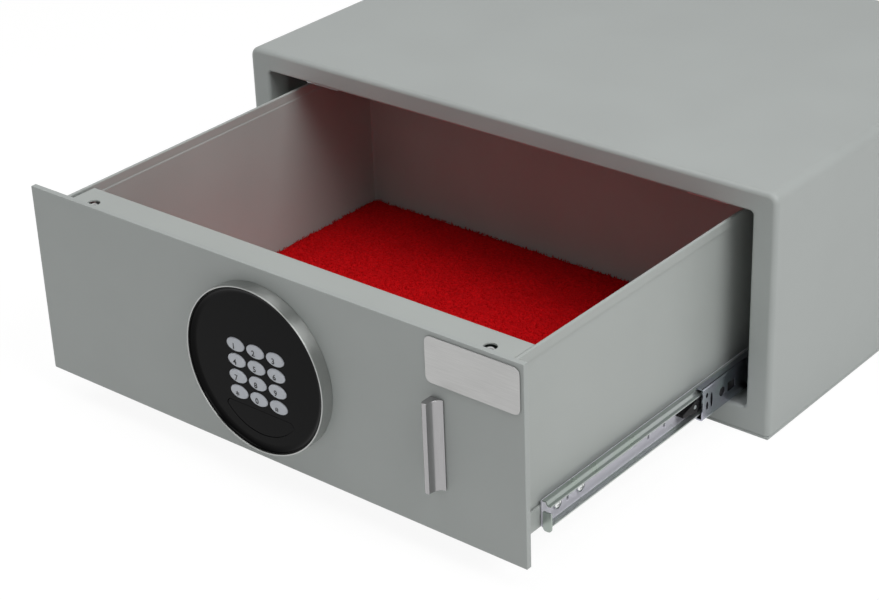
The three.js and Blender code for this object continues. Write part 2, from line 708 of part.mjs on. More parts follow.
function keypadFace() {
  const radius = ringRadius - ringWall - seatGap;
  const rim = radius - faceSlope;
  const back = -faceDepth + faceThickness;
  const dish = turned([[0, -faceDepth], [rim, -faceDepth], [radius - 1, -faceDepth - faceRise],
    [radius, -faceDepth - faceRise], [radius, -seatGap], [radius - faceThickness, -seatGap],
    [radius - faceThickness, back - 1], [radius - faceThickness - 1, back], [0, back]], 60);
  const past = [-faceDepth - faceRise - 1, 0];
  const keyHoles = keyPlaces.map(({ x, z }) => alongY(
    ellipse(x, z, keyWidth / 2 + runGap, keyHeight / 2 + runGap), ...past));
  return cut(dish, ...keyHoles, alongY(coverOutline(0), ...past));
}

// A key: an oval cap with a rounded front edge.
function keyCap() {
  const outline = ellipse(0, 0, keyWidth / 2 - keyRound, keyHeight / 2 - keyRound);
  const front = -faceDepth - keyProud;
  const body = alongY(outline, front + keyRound, front + keyBody + keyRound,
    { bevelEnabled: true, bevelThickness: keyRound, bevelSize: keyRound, bevelSegments: 2 });
  return cut(body, block(-keyWidth, keyWidth, front + keyBody, 0, -keyHeight, keyHeight));
}

place(dial, 'lock_ring', lockRing(), satinChrome);
place(dial, 'keypad_face', keypadFace(), blackGloss);
for (const { label, x, z } of keyPlaces) {
  place(dial, `key_${label}`, keyCap(), greyKey, x, 0, z);
}

const membraneFront = -faceDepth - keyProud + keyBody + keyTravel + runGap;
const membraneBack = membraneFront + membraneThickness;
const boardFront = membraneBack + seatGap;
const padHalf = keyPitchX + keyWidth / 2 + padMargin;
const padTop = keyTopRow + keyHeight / 2 + padMargin;
const padBottom = keyTopRow - 3 * keyPitchZ - keyHeight / 2 - padMargin / 2;
place(dial, 'key_membrane', block(-padHalf, padHalf, membraneFront, membraneBack, padBottom, padTop),
  greyRubber);
place(dial, 'circuit_board', block(-padHalf - padMargin, padHalf + padMargin, boardFront,
  boardFront + boardThickness, padBottom, padTop + padMargin), greenBoard);

const coverFront = -faceDepth + coverSunk;
place(dial, 'battery_cover', alongY(coverOutline(runGap), coverFront, coverFront + coverThickness),
  blackGloss);

// Battery holder: an open tray behind the cover with the cells one behind another.
function batteryHolder() {
  const level = cellRadius + runGap + holderWall / 2;
  const backLine = holderBack - holderWall / 2;
  const section = bentSheet([[holderFront, cellAxis + level], [backLine, cellAxis + level],
    [backLine, cellAxis - level], [holderFront, cellAxis - level]], holderWall);
  const end = (x) => block(x, x + holderWall, holderFront, holderBack, cellAxis - holderHalfHeight,
    cellAxis + holderHalfHeight);
  return join(alongX(section, -holderHalfWidth, holderHalfWidth), end(-holderHalfWidth),
    end(holderHalfWidth - holderWall));
}

place(drawer, 'battery_holder', batteryHolder(), blackPlastic);
for (let i = 0; i < cellCount; i += 1) {
  const end = cellLength / 2;
  const cell = turnedX([[0, -end], [cellRadius, -end], [cellRadius, end - cellCapHeight],
    [cellCapRadius, end - cellCapHeight], [cellCapRadius, end], [0, end]], 16);
  const y = holderFront + runGap + cellRadius + i * (2 * cellRadius + runGap);
  place(drawer, `battery_${i + 1}`, cell, cellWrap, 0, y, cellAxis);
}

// Bolt work: a motor turns a lead screw, which lifts the bar that carries both bolts.

function boltBar() {
  const t = boltBarSheet / 2;
  const back = boltBehind + boltBarDepth / 2;
  const section = bentSheet([[boltBehind - boltBarDepth / 2, boltBarHeight], [back, boltBarHeight],
    [back, boltBarHeight - boltBarFlange]], boltBarSheet);
  const nutTop = boltBarHeight + nutHeight;
  const nut = block(-nutHalf, nutHalf, boltBehind - nutHalf, boltBehind + nutHalf - boltBarSheet,
    boltBarHeight, nutTop);
  const stemHoles = [-1, 1].map((side) => holeZ(side * boltX, boltBehind, boltStemRadius + seatGap,
    boltBarHeight - t - 1, boltBarHeight + t + 1));
  return cut(join(alongX(section, -boltX - boltBarEnd, boltX + boltBarEnd), nut), ...stemHoles,
    holeZ(0, boltBehind, screwRadius + runGap, boltBarHeight - t - 1, nutTop + 1));
}

function bolt() {
  const seat = boltBarHeight + boltBarSheet / 2 + seatGap;
  const foot = seat - boltStemLength;
  const tip = channelTop - boltSunk;
  return turnedZ([[0, foot], [boltStemRadius, foot], [boltStemRadius, seat], [boltRadius, seat],
    [boltRadius, tip - boltChamfer], [boltRadius - boltChamfer, tip], [0, tip]], 20);
}

place(drawer, 'bolt_bar', boltBar(), zincSteel);
place(drawer, 'bolt_right', bolt(), brightSteel, boltX, boltBehind, 0);
place(drawer, 'bolt_left', bolt(), brightSteel, -boltX, boltBehind, 0);

const motorTop = boltBarHeight - screwShown;
const motorBottom = motorTop - motorLength;
const motorShoulder = motorTop - motorNeckHeight;
const screwTop = boltBarHeight + nutHeight + boltThrow + screwEnd;
place(drawer, 'drive_motor', turnedZ([[0, motorBottom], [motorRadius, motorBottom],
  [motorRadius, motorShoulder], [motorNeckRadius, motorShoulder], [motorNeckRadius, motorTop],
  [0, motorTop]], 24), brightSteel, 0, boltBehind, 0);
place(drawer, 'lead_screw', turnedZ(rod(screwRadius, motorTop + seatGap, screwTop), 16), brightSteel,
  0, boltBehind, 0);

function motorBracket() {
  const t = motorPlate / 2;
  const shelf = motorBottom - seatGap - t;
  const half = motorRadius + motorPlateMargin;
  return alongX(bentSheet([[bodyFront + t, motorTop + motorPlateMargin], [bodyFront + t, shelf],
    [boltBehind + motorRadius, shelf]], motorPlate), -half, half);
}

place(drawer, 'motor_bracket', motorBracket(), zincSteel);

// Handle: an upright pull with a square lip on its left and a hollow for the fingers on its right.

function pull() {
  const right = handleLeft + handleWidth;
  const lipRight = handleLeft + handleLip;
  const front = -seatGap - handleReach;
  const hollowFront = front + handleHollowLip;
  const foot = -seatGap - handleFoot;
  const hollow = arcPoints(right, hollowFront, right - lipRight, foot - hollowFront, Math.PI, Math.PI / 2, 8);
  const outline = polygon([[handleLeft, -seatGap], [handleLeft, front + handleRound],
    [handleLeft + handleRound, front], [lipRight - handleHollowLip, front], ...hollow, [right, -seatGap]]);
  const screwHoles = handleScrewPlaces.map((z) => turned(
    rod(handleScrewRadius + runGap, -handleScrewBite - seatGap, 1), 12).translate(handleScrewX, 0, z));
  return cut(alongZ(outline, handleBottom, handleBottom + handleHeight), ...screwHoles);
}

place(drawer, 'handle', pull(), satinAluminium);
handleScrewPlaces.forEach((z, i) => {
  const top = bodyFront + handleScrewHeadHeight;
  const screw = turned([[0, -handleScrewBite], [handleScrewRadius, -handleScrewBite],
    [handleScrewRadius, bodyFront], [handleScrewHeadRadius, bodyFront], [handleScrewHeadRadius, top - 1],
    [handleScrewHeadRadius - 1, top], [0, top]], 12);
  place(drawer, `handle_screw_${i + 1}`, screw, brightSteel, handleScrewX, 0, z);
});

// Bare label plate in the panel's upper right corner.
const labelRight = panelWidth / 2 - labelInsetSide;
place(drawer, 'label_plate', alongY(roundedBox(labelRight - labelWidth, labelRight, labelBottom, labelTop,
  allCorners(labelCorner)), -seatGap - labelThickness, -seatGap), satinAluminium);

export default safe;
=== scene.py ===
import json
import math
import bmesh
import bpy
import numpy as np
from mathutils import Matrix, Vector

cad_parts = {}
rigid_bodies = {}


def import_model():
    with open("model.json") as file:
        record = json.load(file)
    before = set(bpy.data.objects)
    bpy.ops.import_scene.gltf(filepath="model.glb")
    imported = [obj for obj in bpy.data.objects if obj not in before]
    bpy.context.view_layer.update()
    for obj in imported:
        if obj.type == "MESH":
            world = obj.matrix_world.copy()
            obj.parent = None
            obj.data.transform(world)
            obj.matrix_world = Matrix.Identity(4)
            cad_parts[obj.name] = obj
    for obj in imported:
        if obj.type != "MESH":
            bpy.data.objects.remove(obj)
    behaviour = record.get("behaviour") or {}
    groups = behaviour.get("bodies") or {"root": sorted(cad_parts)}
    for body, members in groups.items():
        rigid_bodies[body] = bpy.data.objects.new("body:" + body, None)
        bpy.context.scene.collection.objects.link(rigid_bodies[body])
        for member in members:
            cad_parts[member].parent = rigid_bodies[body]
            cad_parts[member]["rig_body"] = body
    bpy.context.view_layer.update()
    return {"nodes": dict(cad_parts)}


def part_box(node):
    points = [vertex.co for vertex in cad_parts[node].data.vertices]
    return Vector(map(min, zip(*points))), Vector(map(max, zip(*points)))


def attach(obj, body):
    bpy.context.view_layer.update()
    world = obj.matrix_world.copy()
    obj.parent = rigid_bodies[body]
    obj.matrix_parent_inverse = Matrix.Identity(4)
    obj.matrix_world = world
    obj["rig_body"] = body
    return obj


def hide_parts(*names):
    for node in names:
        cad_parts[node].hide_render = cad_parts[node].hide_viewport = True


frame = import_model()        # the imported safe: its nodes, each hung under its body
mm = 0.001
rng = np.random.default_rng(7)
print("frame loaded:", len(frame["nodes"]), "nodes")


# Camera: it stands in front of the safe, to its right and above, as the photographer did
cameraView = {
    "place": (0.9031, -1.3126, 0.8053),
    "azimuth": 40.29,        # degrees round from straight in front
    "elevation": 27.91,      # and above level
    "roll": -2.24,
    "lens": 88.27,           # millimetres, on a sensor 36 mm wide
}


def standCamera(view):
    turn = (Matrix.Rotation(math.radians(view["azimuth"]), 4, "Z")
            @ Matrix.Rotation(math.radians(90 - view["elevation"]), 4, "X")
            @ Matrix.Rotation(math.radians(view["roll"]), 4, "Z"))
    camera = bpy.data.objects.new("camera", bpy.data.cameras.new("camera"))
    camera.data.sensor_width = 36
    camera.data.lens = view["lens"]
    camera.data.clip_start = 0.01
    camera.matrix_world = Matrix.Translation(view["place"]) @ turn
    bpy.context.scene.collection.objects.link(camera)
    bpy.context.scene.camera = camera


standCamera(cameraView)


# Node helpers

def linear(code):
    # an sRGB hex colour as linear light: c/12.92 in the dark part, ((c + 0.055)/1.055)^2.4 above it
    part = np.array([int(code[i:i + 2], 16) for i in (1, 3, 5)]) / 255
    light = np.where(part <= 0.04045, part / 12.92, ((part + 0.055) / 1.055) ** 2.4)
    return (*light.tolist(), 1.0)


def shade(code, share):
    # a hex colour made darker or paler: its linear light times a share, 1 at most
    return (*(min(1.0, share * part) for part in linear(code)[:3]), 1.0)


def addNode(tree, kind, inputs=None, **settings):
    # one node with its settings; an input is a plain value or another node's output
    node = tree.nodes.new(kind)
    for name, value in settings.items():
        setattr(node, name, value)
    for socket, value in (inputs or {}).items():
        if isinstance(value, bpy.types.NodeSocket):
            tree.links.new(value, node.inputs[socket])
        else:
            node.inputs[socket].default_value = value
    return node


def newMaterial(name):
    material = bpy.data.materials.new(name)
    material.use_nodes = True
    material.node_tree.nodes.clear()
    return material, material.node_tree


def finishWith(material, shader):
    tree = material.node_tree
    addNode(tree, "ShaderNodeOutputMaterial", {"Surface": shader.outputs[0]})
    return material


def grainOf(tree, size, detail, stretch=(1, 1, 1)):
    # noise whose cells are about size metres across, drawn out along an axis where stretch is under 1
    place = addNode(tree, "ShaderNodeTexCoord")
    scaled = addNode(tree, "ShaderNodeMapping", {"Vector": place.outputs["Object"], "Scale": stretch})
    return addNode(tree, "ShaderNodeTexNoise", {"Vector": scaled.outputs[0], "Scale": 1 / size,
                                                "Detail": detail}).outputs[0]


def spread(tree, value, low, high, fromLow=0.3, fromHigh=0.7):
    # the pattern's usual range, laid over low to high
    return addNode(tree, "ShaderNodeMapRange", {"Value": value, "From Min": fromLow, "From Max": fromHigh,
                                                "To Min": low, "To Max": high}).outputs[0]


def blend(tree, factor, first, second):
    # one colour into another by a factor: on this node, sockets 6 and 7 take the colours and 2 gives one
    return addNode(tree, "ShaderNodeMix", {0: factor, 6: first, 7: second}, data_type="RGBA").outputs[2]


def relief(tree, height, depth, strength=1.0, under=None):
    # a bump of the given depth in metres, over another one where there is one
    inputs = {"Height": height, "Distance": depth, "Strength": strength}
    if under:
        inputs["Normal"] = under
    return addNode(tree, "ShaderNodeBump", inputs).outputs[0]


# Finishes

paintLook = {
    "grain": 0.9 * mm,       # stippled skin of the cured powder
    "grainDepth": 0.02 * mm,
    "waves": 7 * mm,         # slow orange peel
    "waveDepth": 0.05 * mm,
    "clouds": 90 * mm,       # uneven film, seen as slow shifts of tone
    "tones": (0.955, 1.03),  # between these shares of the colour
    "speck": (0.5, 0.51, 0.51, 1),
    "speckShare": 0.10,
    "roughness": (0.40, 0.50),
}


def powderCoat(name, code, look=paintLook):
    # polyester powder, sprayed on sheet steel and baked: satin, slightly stippled, softly uneven in tone
    material, tree = newMaterial(name)
    grain = grainOf(tree, look["grain"], 2)
    waves = grainOf(tree, look["waves"], 1)
    clouds = grainOf(tree, look["clouds"], 3)
    deep, pale = (shade(code, share) for share in look["tones"])
    toned = blend(tree, spread(tree, clouds, 0, 1), deep, pale)
    speckled = blend(tree, spread(tree, grain, 0, look["speckShare"]), toned, look["speck"])
    normal = relief(tree, grain, look["grainDepth"], 0.6, relief(tree, waves, look["waveDepth"], 0.5))
    shader = addNode(tree, "ShaderNodeBsdfPrincipled", {
        "Base Color": speckled, "Roughness": spread(tree, clouds, *look["roughness"]),
        "IOR": 1.48, "Normal": normal})
    return finishWith(material, shader)


steelLook = {
    "rolling": 0.35 * mm,    # drawn as coarse as it needs to show: rolling lines are finer
    "tint": 24 * mm,         # the passivated film shifts from greenish to lilac over such lengths
    "roughness": (0.27, 0.33),
    "metal": 0.75,
    "paintedLightWebMetal": 0.1,         # painted light: the drawer rail's flat web is drawn paler and less metallic than the rest
}


def zincPlate(name, code, otherCode, look=steelLook, paintedLightWebEnds=None, paintedLightWebCode=None):
    # cold-rolled steel, roll-formed, bright zinc plated and passivated: long rolling lines and a faint tint
    material, tree = newMaterial(name)
    lines = grainOf(tree, look["rolling"], 2, (1, 0.02, 1))
    bloom = grainOf(tree, look["tint"], 2)
    tinted = blend(tree, spread(tree, bloom, 0, 1), linear(code), linear(otherCode))
    metal = look["metal"]
    # painted light and shade: where web ends are given, the web is drawn pale and nearly matt, and the
    # flanges keep the darker tint
    if paintedLightWebEnds:
        # painted light: the web lies between two distances from the middle plane x = 0, measured as |x|, and
        # is drawn in a pale colour
        place = addNode(tree, "ShaderNodeTexCoord")
        parts = addNode(tree, "ShaderNodeSeparateXYZ", {0: place.outputs["Object"]})
        across = addNode(tree, "ShaderNodeMath", {0: parts.outputs[0]}, operation="ABSOLUTE").outputs[0]
        flat = spread(tree, across, 1, 0, *paintedLightWebEnds)
        tinted = blend(tree, flat, tinted, linear(paintedLightWebCode))
        metal = spread(tree, flat, look["metal"], look["paintedLightWebMetal"], 0, 1)
    normal = relief(tree, lines, 0.005 * mm, 0.25)
    shader = addNode(tree, "ShaderNodeBsdfPrincipled", {
        "Base Color": tinted, "Metallic": metal, "Roughness": spread(tree, bloom, *look["roughness"]),
        "Normal": normal})
    return finishWith(material, shader)


def turnedMetal(name, code, roughness, lineSize=0.25 * mm, depth=0.006 * mm, drawnOut=0.0):
    # steel or chrome, turned or ground: fine tool marks that soften its highlights; marks that run round
    # the y axis draw them out along it, so that a turned rim shows bands of light and shade
    material, tree = newMaterial(name)
    marks = grainOf(tree, lineSize, 2)
    along = addNode(tree, "ShaderNodeCombineXYZ", {"Y": 1.0}).outputs[0]
    low, high = roughness
    shader = addNode(tree, "ShaderNodeBsdfPrincipled", {
        "Base Color": linear(code), "Metallic": 1.0, "Roughness": spread(tree, marks, low, high),
        "Normal": relief(tree, marks, depth, 0.5), "Anisotropic": drawnOut, "Tangent": along})
    return finishWith(material, shader)


def mouldedPlastic(name, code, roughness, grainSize, grainDepth, specular=0.5):
    # ABS, injection moulded: even colour, with the spark-eroded grain or the polish of its mould
    material, tree = newMaterial(name)
    grain = grainOf(tree, grainSize, 2)
    clouds = grainOf(tree, 30 * mm, 2)
    low, high = roughness
    shader = addNode(tree, "ShaderNodeBsdfPrincipled", {
        "Base Color": blend(tree, spread(tree, clouds, 0, 1), shade(code, 0.93), linear(code)),
        "Roughness": spread(tree, grain, low, high), "IOR": 1.53, "Specular IOR Level": specular,
        "Normal": relief(tree, grain, grainDepth, 0.5)})
    return finishWith(material, shader)


def brushedAluminium(name, code, roughness, stretch, metal=1.0):
    # extruded aluminium, brushed lengthways and anodised clear: silky, with streaks along its length, and
    # paler than bare metal where the oxide film scatters light
    material, tree = newMaterial(name)
    streaks = grainOf(tree, 0.3 * mm, 3, stretch)
    clouds = grainOf(tree, 25 * mm, 2)
    low, high = roughness
    shader = addNode(tree, "ShaderNodeBsdfPrincipled", {
        "Base Color": blend(tree, spread(tree, streaks, 0, 1), shade(code, 0.88), linear(code)),
        "Metallic": metal, "Roughness": spread(tree, clouds, low, high),
        "Normal": relief(tree, streaks, 0.003 * mm, 0.4)})
    return finishWith(material, shader)


def needledFelt(name, code, darkCode):
    # polypropylene carpet, needled and dyed: matt saturated red, mottled where the fibres lie differently
    material, tree = newMaterial(name)
    tufts = grainOf(tree, 2.2 * mm, 3)
    patches = grainOf(tree, 26 * mm, 3)
    base = blend(tree, spread(tree, tufts, 0, 1), linear(darkCode), linear(code))
    worn = blend(tree, spread(tree, patches, 0, 0.35), base, linear(darkCode))
    shader = addNode(tree, "ShaderNodeBsdfPrincipled", {
        "Base Color": worn, "Roughness": 0.95, "Specular IOR Level": 0.1, "Sheen Weight": 0.15,
        "Sheen Roughness": 0.5, "Sheen Tint": linear("#e04040"),
        "Normal": relief(tree, tufts, 0.5 * mm, 0.6)})
    return finishWith(material, shader)


finishes = {
    "casing_paint": powderCoat("casing_powder_coat", "#adb2b0"),
    "drawer_paint": powderCoat("drawer_powder_coat", "#aeb3b0"),
    "panel_paint": powderCoat("front_powder_coat", "#abb0ae"),
    "zinc_steel": zincPlate("zinc_plated_steel", "#c9d0cc", "#d3d1da"),
    "bright_steel": turnedMetal("turned_bright_steel", "#e4e5e5", (0.10, 0.18)),
    "satin_chrome": turnedMetal("satin_chrome", "#aeb0ae", (0.28, 0.34), 4 * mm, 0.01 * mm, 0.85),
    "black_gloss": mouldedPlastic("polished_black_plastic", "#060607", (0.08, 0.12), 6 * mm, 0.01 * mm, 0.06),
    "black_plastic": mouldedPlastic("grained_black_plastic", "#0c0c0d", (0.48, 0.6), 0.5 * mm, 0.03 * mm,
                                    0.25),
    "key_grey": mouldedPlastic("moulded_key_plastic", "#c9cdd4", (0.42, 0.5), 0.4 * mm, 0.01 * mm),
    "satin_aluminium": brushedAluminium("brushed_aluminium", "#abaaab", (0.16, 0.21), (1, 1, 0.02), 0.85),
    "label_foil": brushedAluminium("brushed_label_foil", "#b9b9b8", (0.42, 0.50), (0.02, 1, 1)),
    "red_carpet": needledFelt("needled_red_felt", "#dc0a12", "#ad030a"),
    "grey_rubber": mouldedPlastic("moulded_silicone", "#5a5c5e", (0.7, 0.8), 0.6 * mm, 0.02 * mm, 0.3),
    "green_board": mouldedPlastic("green_circuit_board", "#1f5a3a", (0.3, 0.4), 1.5 * mm, 0.02 * mm),
    "cell_wrap": mouldedPlastic("printed_cell_wrap", "#2c4a6b", (0.25, 0.35), 3 * mm, 0.01 * mm),
    "digit_ink": mouldedPlastic("printed_ink", "#0c0d11", (0.5, 0.6), 0.5 * mm, 0.005 * mm, 0.2),
}
print("finishes ready:", len(finishes))


# Shape helpers: every surface is an array of points, rows by columns

def fourCorners(a0, a1, b0, b1, radii, steps=8):
    # a rectangle with rounded corners: c + r(cos t, sin t) over a quarter turn at each, low left first
    radii = np.broadcast_to(np.asarray(radii, float), (4,))
    sides = np.array([[a0, b0, 1, 1], [a1, b0, -1, 1], [a1, b1, -1, -1], [a0, b1, 1, -1]], float)
    turn = np.linspace(0, math.pi / 2, steps + 1) + math.pi + np.arange(4)[:, None] * math.pi / 2
    centre = sides[:, :2] + sides[:, 2:] * radii[:, None]
    arc = np.stack([np.cos(turn), np.sin(turn)], axis=-1) * radii[:, None, None]
    return (centre[:, None] + arc).reshape(-1, 2)


def quarter(radius, steps):
    # how far a rounded edge has come in and back: r(1 - cos t), r(1 - sin t), over a quarter turn
    t = np.radians(np.linspace(0, 90, steps + 1))
    return np.stack([radius * (1 - np.cos(t)), radius * (1 - np.sin(t))], axis=-1)


def roundedPath(corners, radius, steps=5):
    # straight runs joined by arcs: each corner is a rational quadratic with its middle weight sin(angle/2)
    corners = np.asarray(corners, float)
    middle = corners[1:-1]
    back, ahead = corners[:-2] - middle, corners[2:] - middle
    backLength = np.linalg.norm(back, axis=1, keepdims=True)
    aheadLength = np.linalg.norm(ahead, axis=1, keepdims=True)
    back, ahead = back / backLength, ahead / aheadLength
    half = np.arccos(np.clip((back * ahead).sum(1, keepdims=True), -1, 1)) / 2
    reach = np.minimum(radius / np.tan(half), 0.499 * np.minimum(backLength, aheadLength))
    t = np.linspace(0, 1, steps + 1)[None, :, None]
    weight = np.sin(half)[:, None]
    w0, w1, w2 = (1 - t) ** 2, 2 * weight * t * (1 - t), t ** 2
    arc = (w0 * (middle + back * reach)[:, None] + w1 * middle[:, None]
           + w2 * (middle + ahead * reach)[:, None]) / (w0 + w1 + w2)
    return np.vstack([corners[:1], arc.reshape(-1, 2), corners[-1:]])


def bentSheet(corners, thickness, radius, steps=5):
    # the outline of bent sheet: its middle line moved half the thickness to each side, mitred
    line = roundedPath(corners, radius, steps)
    run = np.diff(line, axis=0)
    run /= np.linalg.norm(run, axis=1, keepdims=True)
    side = np.stack([-run[:, 1], run[:, 0]], axis=-1)
    side = np.vstack([side[:1], side, side[-1:]])
    mitre = side[:-1] + side[1:]
    mitre /= np.linalg.norm(mitre, axis=1, keepdims=True)
    reach = thickness / 2 / (mitre * side[:-1]).sum(1, keepdims=True)
    return np.vstack([line + mitre * reach, (line - mitre * reach)[::-1]])


planes = {"x": (1, 2, 0), "y": (0, 2, 1), "z": (0, 1, 2)}     # a section's two axes and the one along it


def carried(section, axis, stations):
    # a flat section repeated at stations along an axis: row i is the section at station i
    a, b, c = planes[axis]
    points = np.empty((len(stations), len(section), 3))
    points[..., a], points[..., b] = section[:, 0], section[:, 1]
    points[..., c] = np.asarray(stations, float)[:, None]
    return points


def turned(profile, centre, axis="y", steps=64):
    # a profile of (radius, distance) turned round an axis through centre: r cos t, r sin t, d
    profile = np.asarray(profile, float)
    t = np.linspace(0, 2 * math.pi, steps, endpoint=False)
    a, b, c = planes[axis]
    points = np.empty((len(profile), steps, 3))
    points[..., a] = centre[a] + profile[:, :1] * np.cos(t)
    points[..., b] = centre[b] + profile[:, :1] * np.sin(t)
    points[..., c] = centre[c] + profile[:, 1:]
    return points


def surface(points, closeRing=True, capFirst=True, capLast=True, closeRows=False):
    # quads between neighbouring rows and columns, with flat caps on the first and last rows
    rows, columns = points.shape[:2]
    index = np.arange(rows * columns).reshape(rows, columns)
    wide = np.hstack([index, index[:, :1]]) if closeRing else index
    tall = np.vstack([wide, wide[:1]]) if closeRows else wide
    quads = np.stack([tall[:-1, :-1], tall[:-1, 1:], tall[1:, 1:], tall[1:, :-1]], axis=-1)
    faces = quads.reshape(-1, 4).tolist()
    if capFirst:
        faces.append(index[0, ::-1].tolist())
    if capLast:
        faces.append(index[-1].tolist())
    return points.reshape(-1, 3), faces


def makeObject(name, surfaces):
    # one mesh from several surfaces: shared points are merged and faces turned outwards
    points, faces, start = [], [], 0
    for part, partFaces in surfaces:
        points.append(part)
        faces += [[start + i for i in face] for face in partFaces]
        start += len(part)
    mesh = bpy.data.meshes.new(name)
    mesh.from_pydata(np.vstack(points), [], faces)
    work = bmesh.new()
    work.from_mesh(mesh)
    bmesh.ops.remove_doubles(work, verts=work.verts, dist=1e-6)
    bmesh.ops.dissolve_degenerate(work, edges=work.edges, dist=1e-6)
    bmesh.ops.recalc_face_normals(work, faces=work.faces)
    work.to_mesh(mesh)
    work.free()
    made = bpy.data.objects.new(name, mesh)
    bpy.context.scene.collection.objects.link(made)
    return made


def modify(piece, kind, **settings):
    modifier = piece.modifiers.new(kind.title(), kind)
    for name, value in settings.items():
        setattr(modifier, name, value)


def settle(piece, angle=38):
    # takes the modifiers into the mesh and shades it smooth up to the angle, flat faces staying flat
    if piece.modifiers:
        graph = bpy.context.evaluated_depsgraph_get()
        mesh = bpy.data.meshes.new_from_object(piece.evaluated_get(graph))
        piece.modifiers.clear()
        piece.data = mesh
    piece.data.shade_smooth()
    piece.data.set_sharp_from_angle(angle=math.radians(angle))
    modify(piece, "WEIGHTED_NORMAL", keep_sharp=True)


def cutBy(piece, cutters):
    # takes each cutter's shape out of the piece, then removes the cutters
    for cutter in cutters:
        modify(piece, "BOOLEAN", operation="DIFFERENCE", solver="EXACT", object=cutter)
    graph = bpy.context.evaluated_depsgraph_get()
    piece.data = bpy.data.meshes.new_from_object(piece.evaluated_get(graph))
    piece.modifiers.clear()
    for cutter in cutters:
        bpy.data.objects.remove(cutter)


def rounded(piece, width, segments=3, angle=40):
    modify(piece, "BEVEL", width=width, segments=segments, limit_method="ANGLE",
           angle_limit=math.radians(angle), harden_normals=False, use_clamp_overlap=True)


def deliver(piece, slotName, body, stands=(), look=None, angle=38):
    # a finished piece gets its finish and body, and hides the nodes that it stands for
    settle(piece, angle)
    piece.data.materials.clear()
    piece.data.materials.append(finishes[look or slotName])
    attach(piece, body)
    if stands:
        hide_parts(*stands)


def rodCutter(name, centre, axis, radius, half, steps=32, stretch=1.0):
    # a round tool for cutting a hole: radius and half length, stretched upwards for a slot
    rod = turned([[radius, -half], [radius, half]], centre, axis, steps)
    if stretch != 1.0:
        rod[..., 2] = centre[2] + (rod[..., 2] - centre[2]) * stretch
    return makeObject(name, [surface(rod)])


def blockCutter(name, low, high):
    # a square tool between two corners
    ring = fourCorners(low[0], high[0], low[2], high[2], 0, 1)
    return makeObject(name, [surface(carried(ring, "y", [low[1], high[1]]))])


def bodyOf(node):
    return frame["nodes"][node]["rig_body"]


def mirroredX(points):
    # the other hand of a surface: x changes sign
    return points * np.array([-1.0, 1.0, 1.0])


def handed(side, points):
    return points if side == "right" else mirroredX(points)


def asRight(node, side):
    # a node's box, with its inner and outer x as they would be on the right
    low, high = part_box(node)
    inner, outer = (low.x, high.x) if side == "right" else (-high.x, -low.x)
    return inner, outer, low, high


sides = ("right", "left")
print("shape helpers ready")


# Casing: one sheet folded over the top and sides, round the front edge and back into the opening

casingShape = {
    "sheet": 2 * mm,
    "longEdge": 8 * mm,      # outside bend along both top edges
    "frontEdge": 4 * mm,     # and round the front
    "foldEdge": 2.2 * mm,    # bend from the front frame into the opening
    "foldDepth": 20.5 * mm,
    "frameSide": 19 * mm,
    "frameTop": 17 * mm,
    "sill": 20.5 * mm,
    "openingCorner": 3 * mm,
    "plateEdge": 0.4 * mm,
    "plateCorner": 0.3 * mm,
    "fixingHole": 4.5 * mm,
    "fixingInset": 70 * mm,
}


def ringAt(outline, y):
    return np.stack([outline[:, 0], np.full(len(outline), y), outline[:, 1]], axis=-1)


def casingShell(shape):
    # outer(inset) and mouth(grow) are rounded outlines; the sheet's outside runs from one to the other
    low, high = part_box("casing_shell")
    steps = 8

    def outer(inset):
        corner = shape["longEdge"] - inset
        return fourCorners(-high.x + inset, high.x - inset, low.z, high.z - inset, (0, 0, corner, corner),
                           steps)

    def mouth(grow):
        half = high.x - shape["frameSide"] + grow
        return fourCorners(-half, half, shape["sill"] - grow, high.z - shape["frameTop"] + grow,
                           shape["openingCorner"] + grow, steps)

    ring = 4 * (steps + 1)
    arch = np.r_[ring // 2 - 1:ring, 0]     # from the foot of one side over the top to the other foot
    edge = quarter(shape["frontEdge"], 8)
    walls = [ringAt(outer(0), high.y)[arch]]
    walls += [ringAt(outer(inset), low.y + back)[arch] for inset, back in edge]
    fold = quarter(shape["foldEdge"], 6)
    mouthRows = [ringAt(outer(shape["frontEdge"]), low.y)]
    mouthRows += [ringAt(mouth(back), low.y + inset) for inset, back in fold]
    mouthRows.append(ringAt(mouth(0), low.y + shape["foldDepth"]))
    shell = makeObject("casing_shell_folded", [
        surface(np.array(walls), closeRing=False, capFirst=False, capLast=False),
        surface(np.array(mouthRows), capFirst=False, capLast=False)])
    modify(shell, "SOLIDIFY", thickness=shape["sheet"], offset=-1, use_even_offset=True, use_rim=True)
    return shell


def plate(outline, axis, low, high, edge, steps=3):
    # a flat plate: outline(inset) is its edge, drawn in by r(1 - cos t) as the faces are rounded by r
    bend = quarter(edge, steps)
    insets = np.concatenate([bend[::-1, 0], bend[:, 0]])
    places = np.concatenate([low + bend[::-1, 1], high - bend[:, 1]])
    rows = np.concatenate([carried(outline(inset), axis, [at]) for inset, at in zip(insets, places)])
    return surface(rows)


def fixingHoles(axis, places, radius):
    return [rodCutter("hole", place, axis, radius, 4 * mm) for place in places]


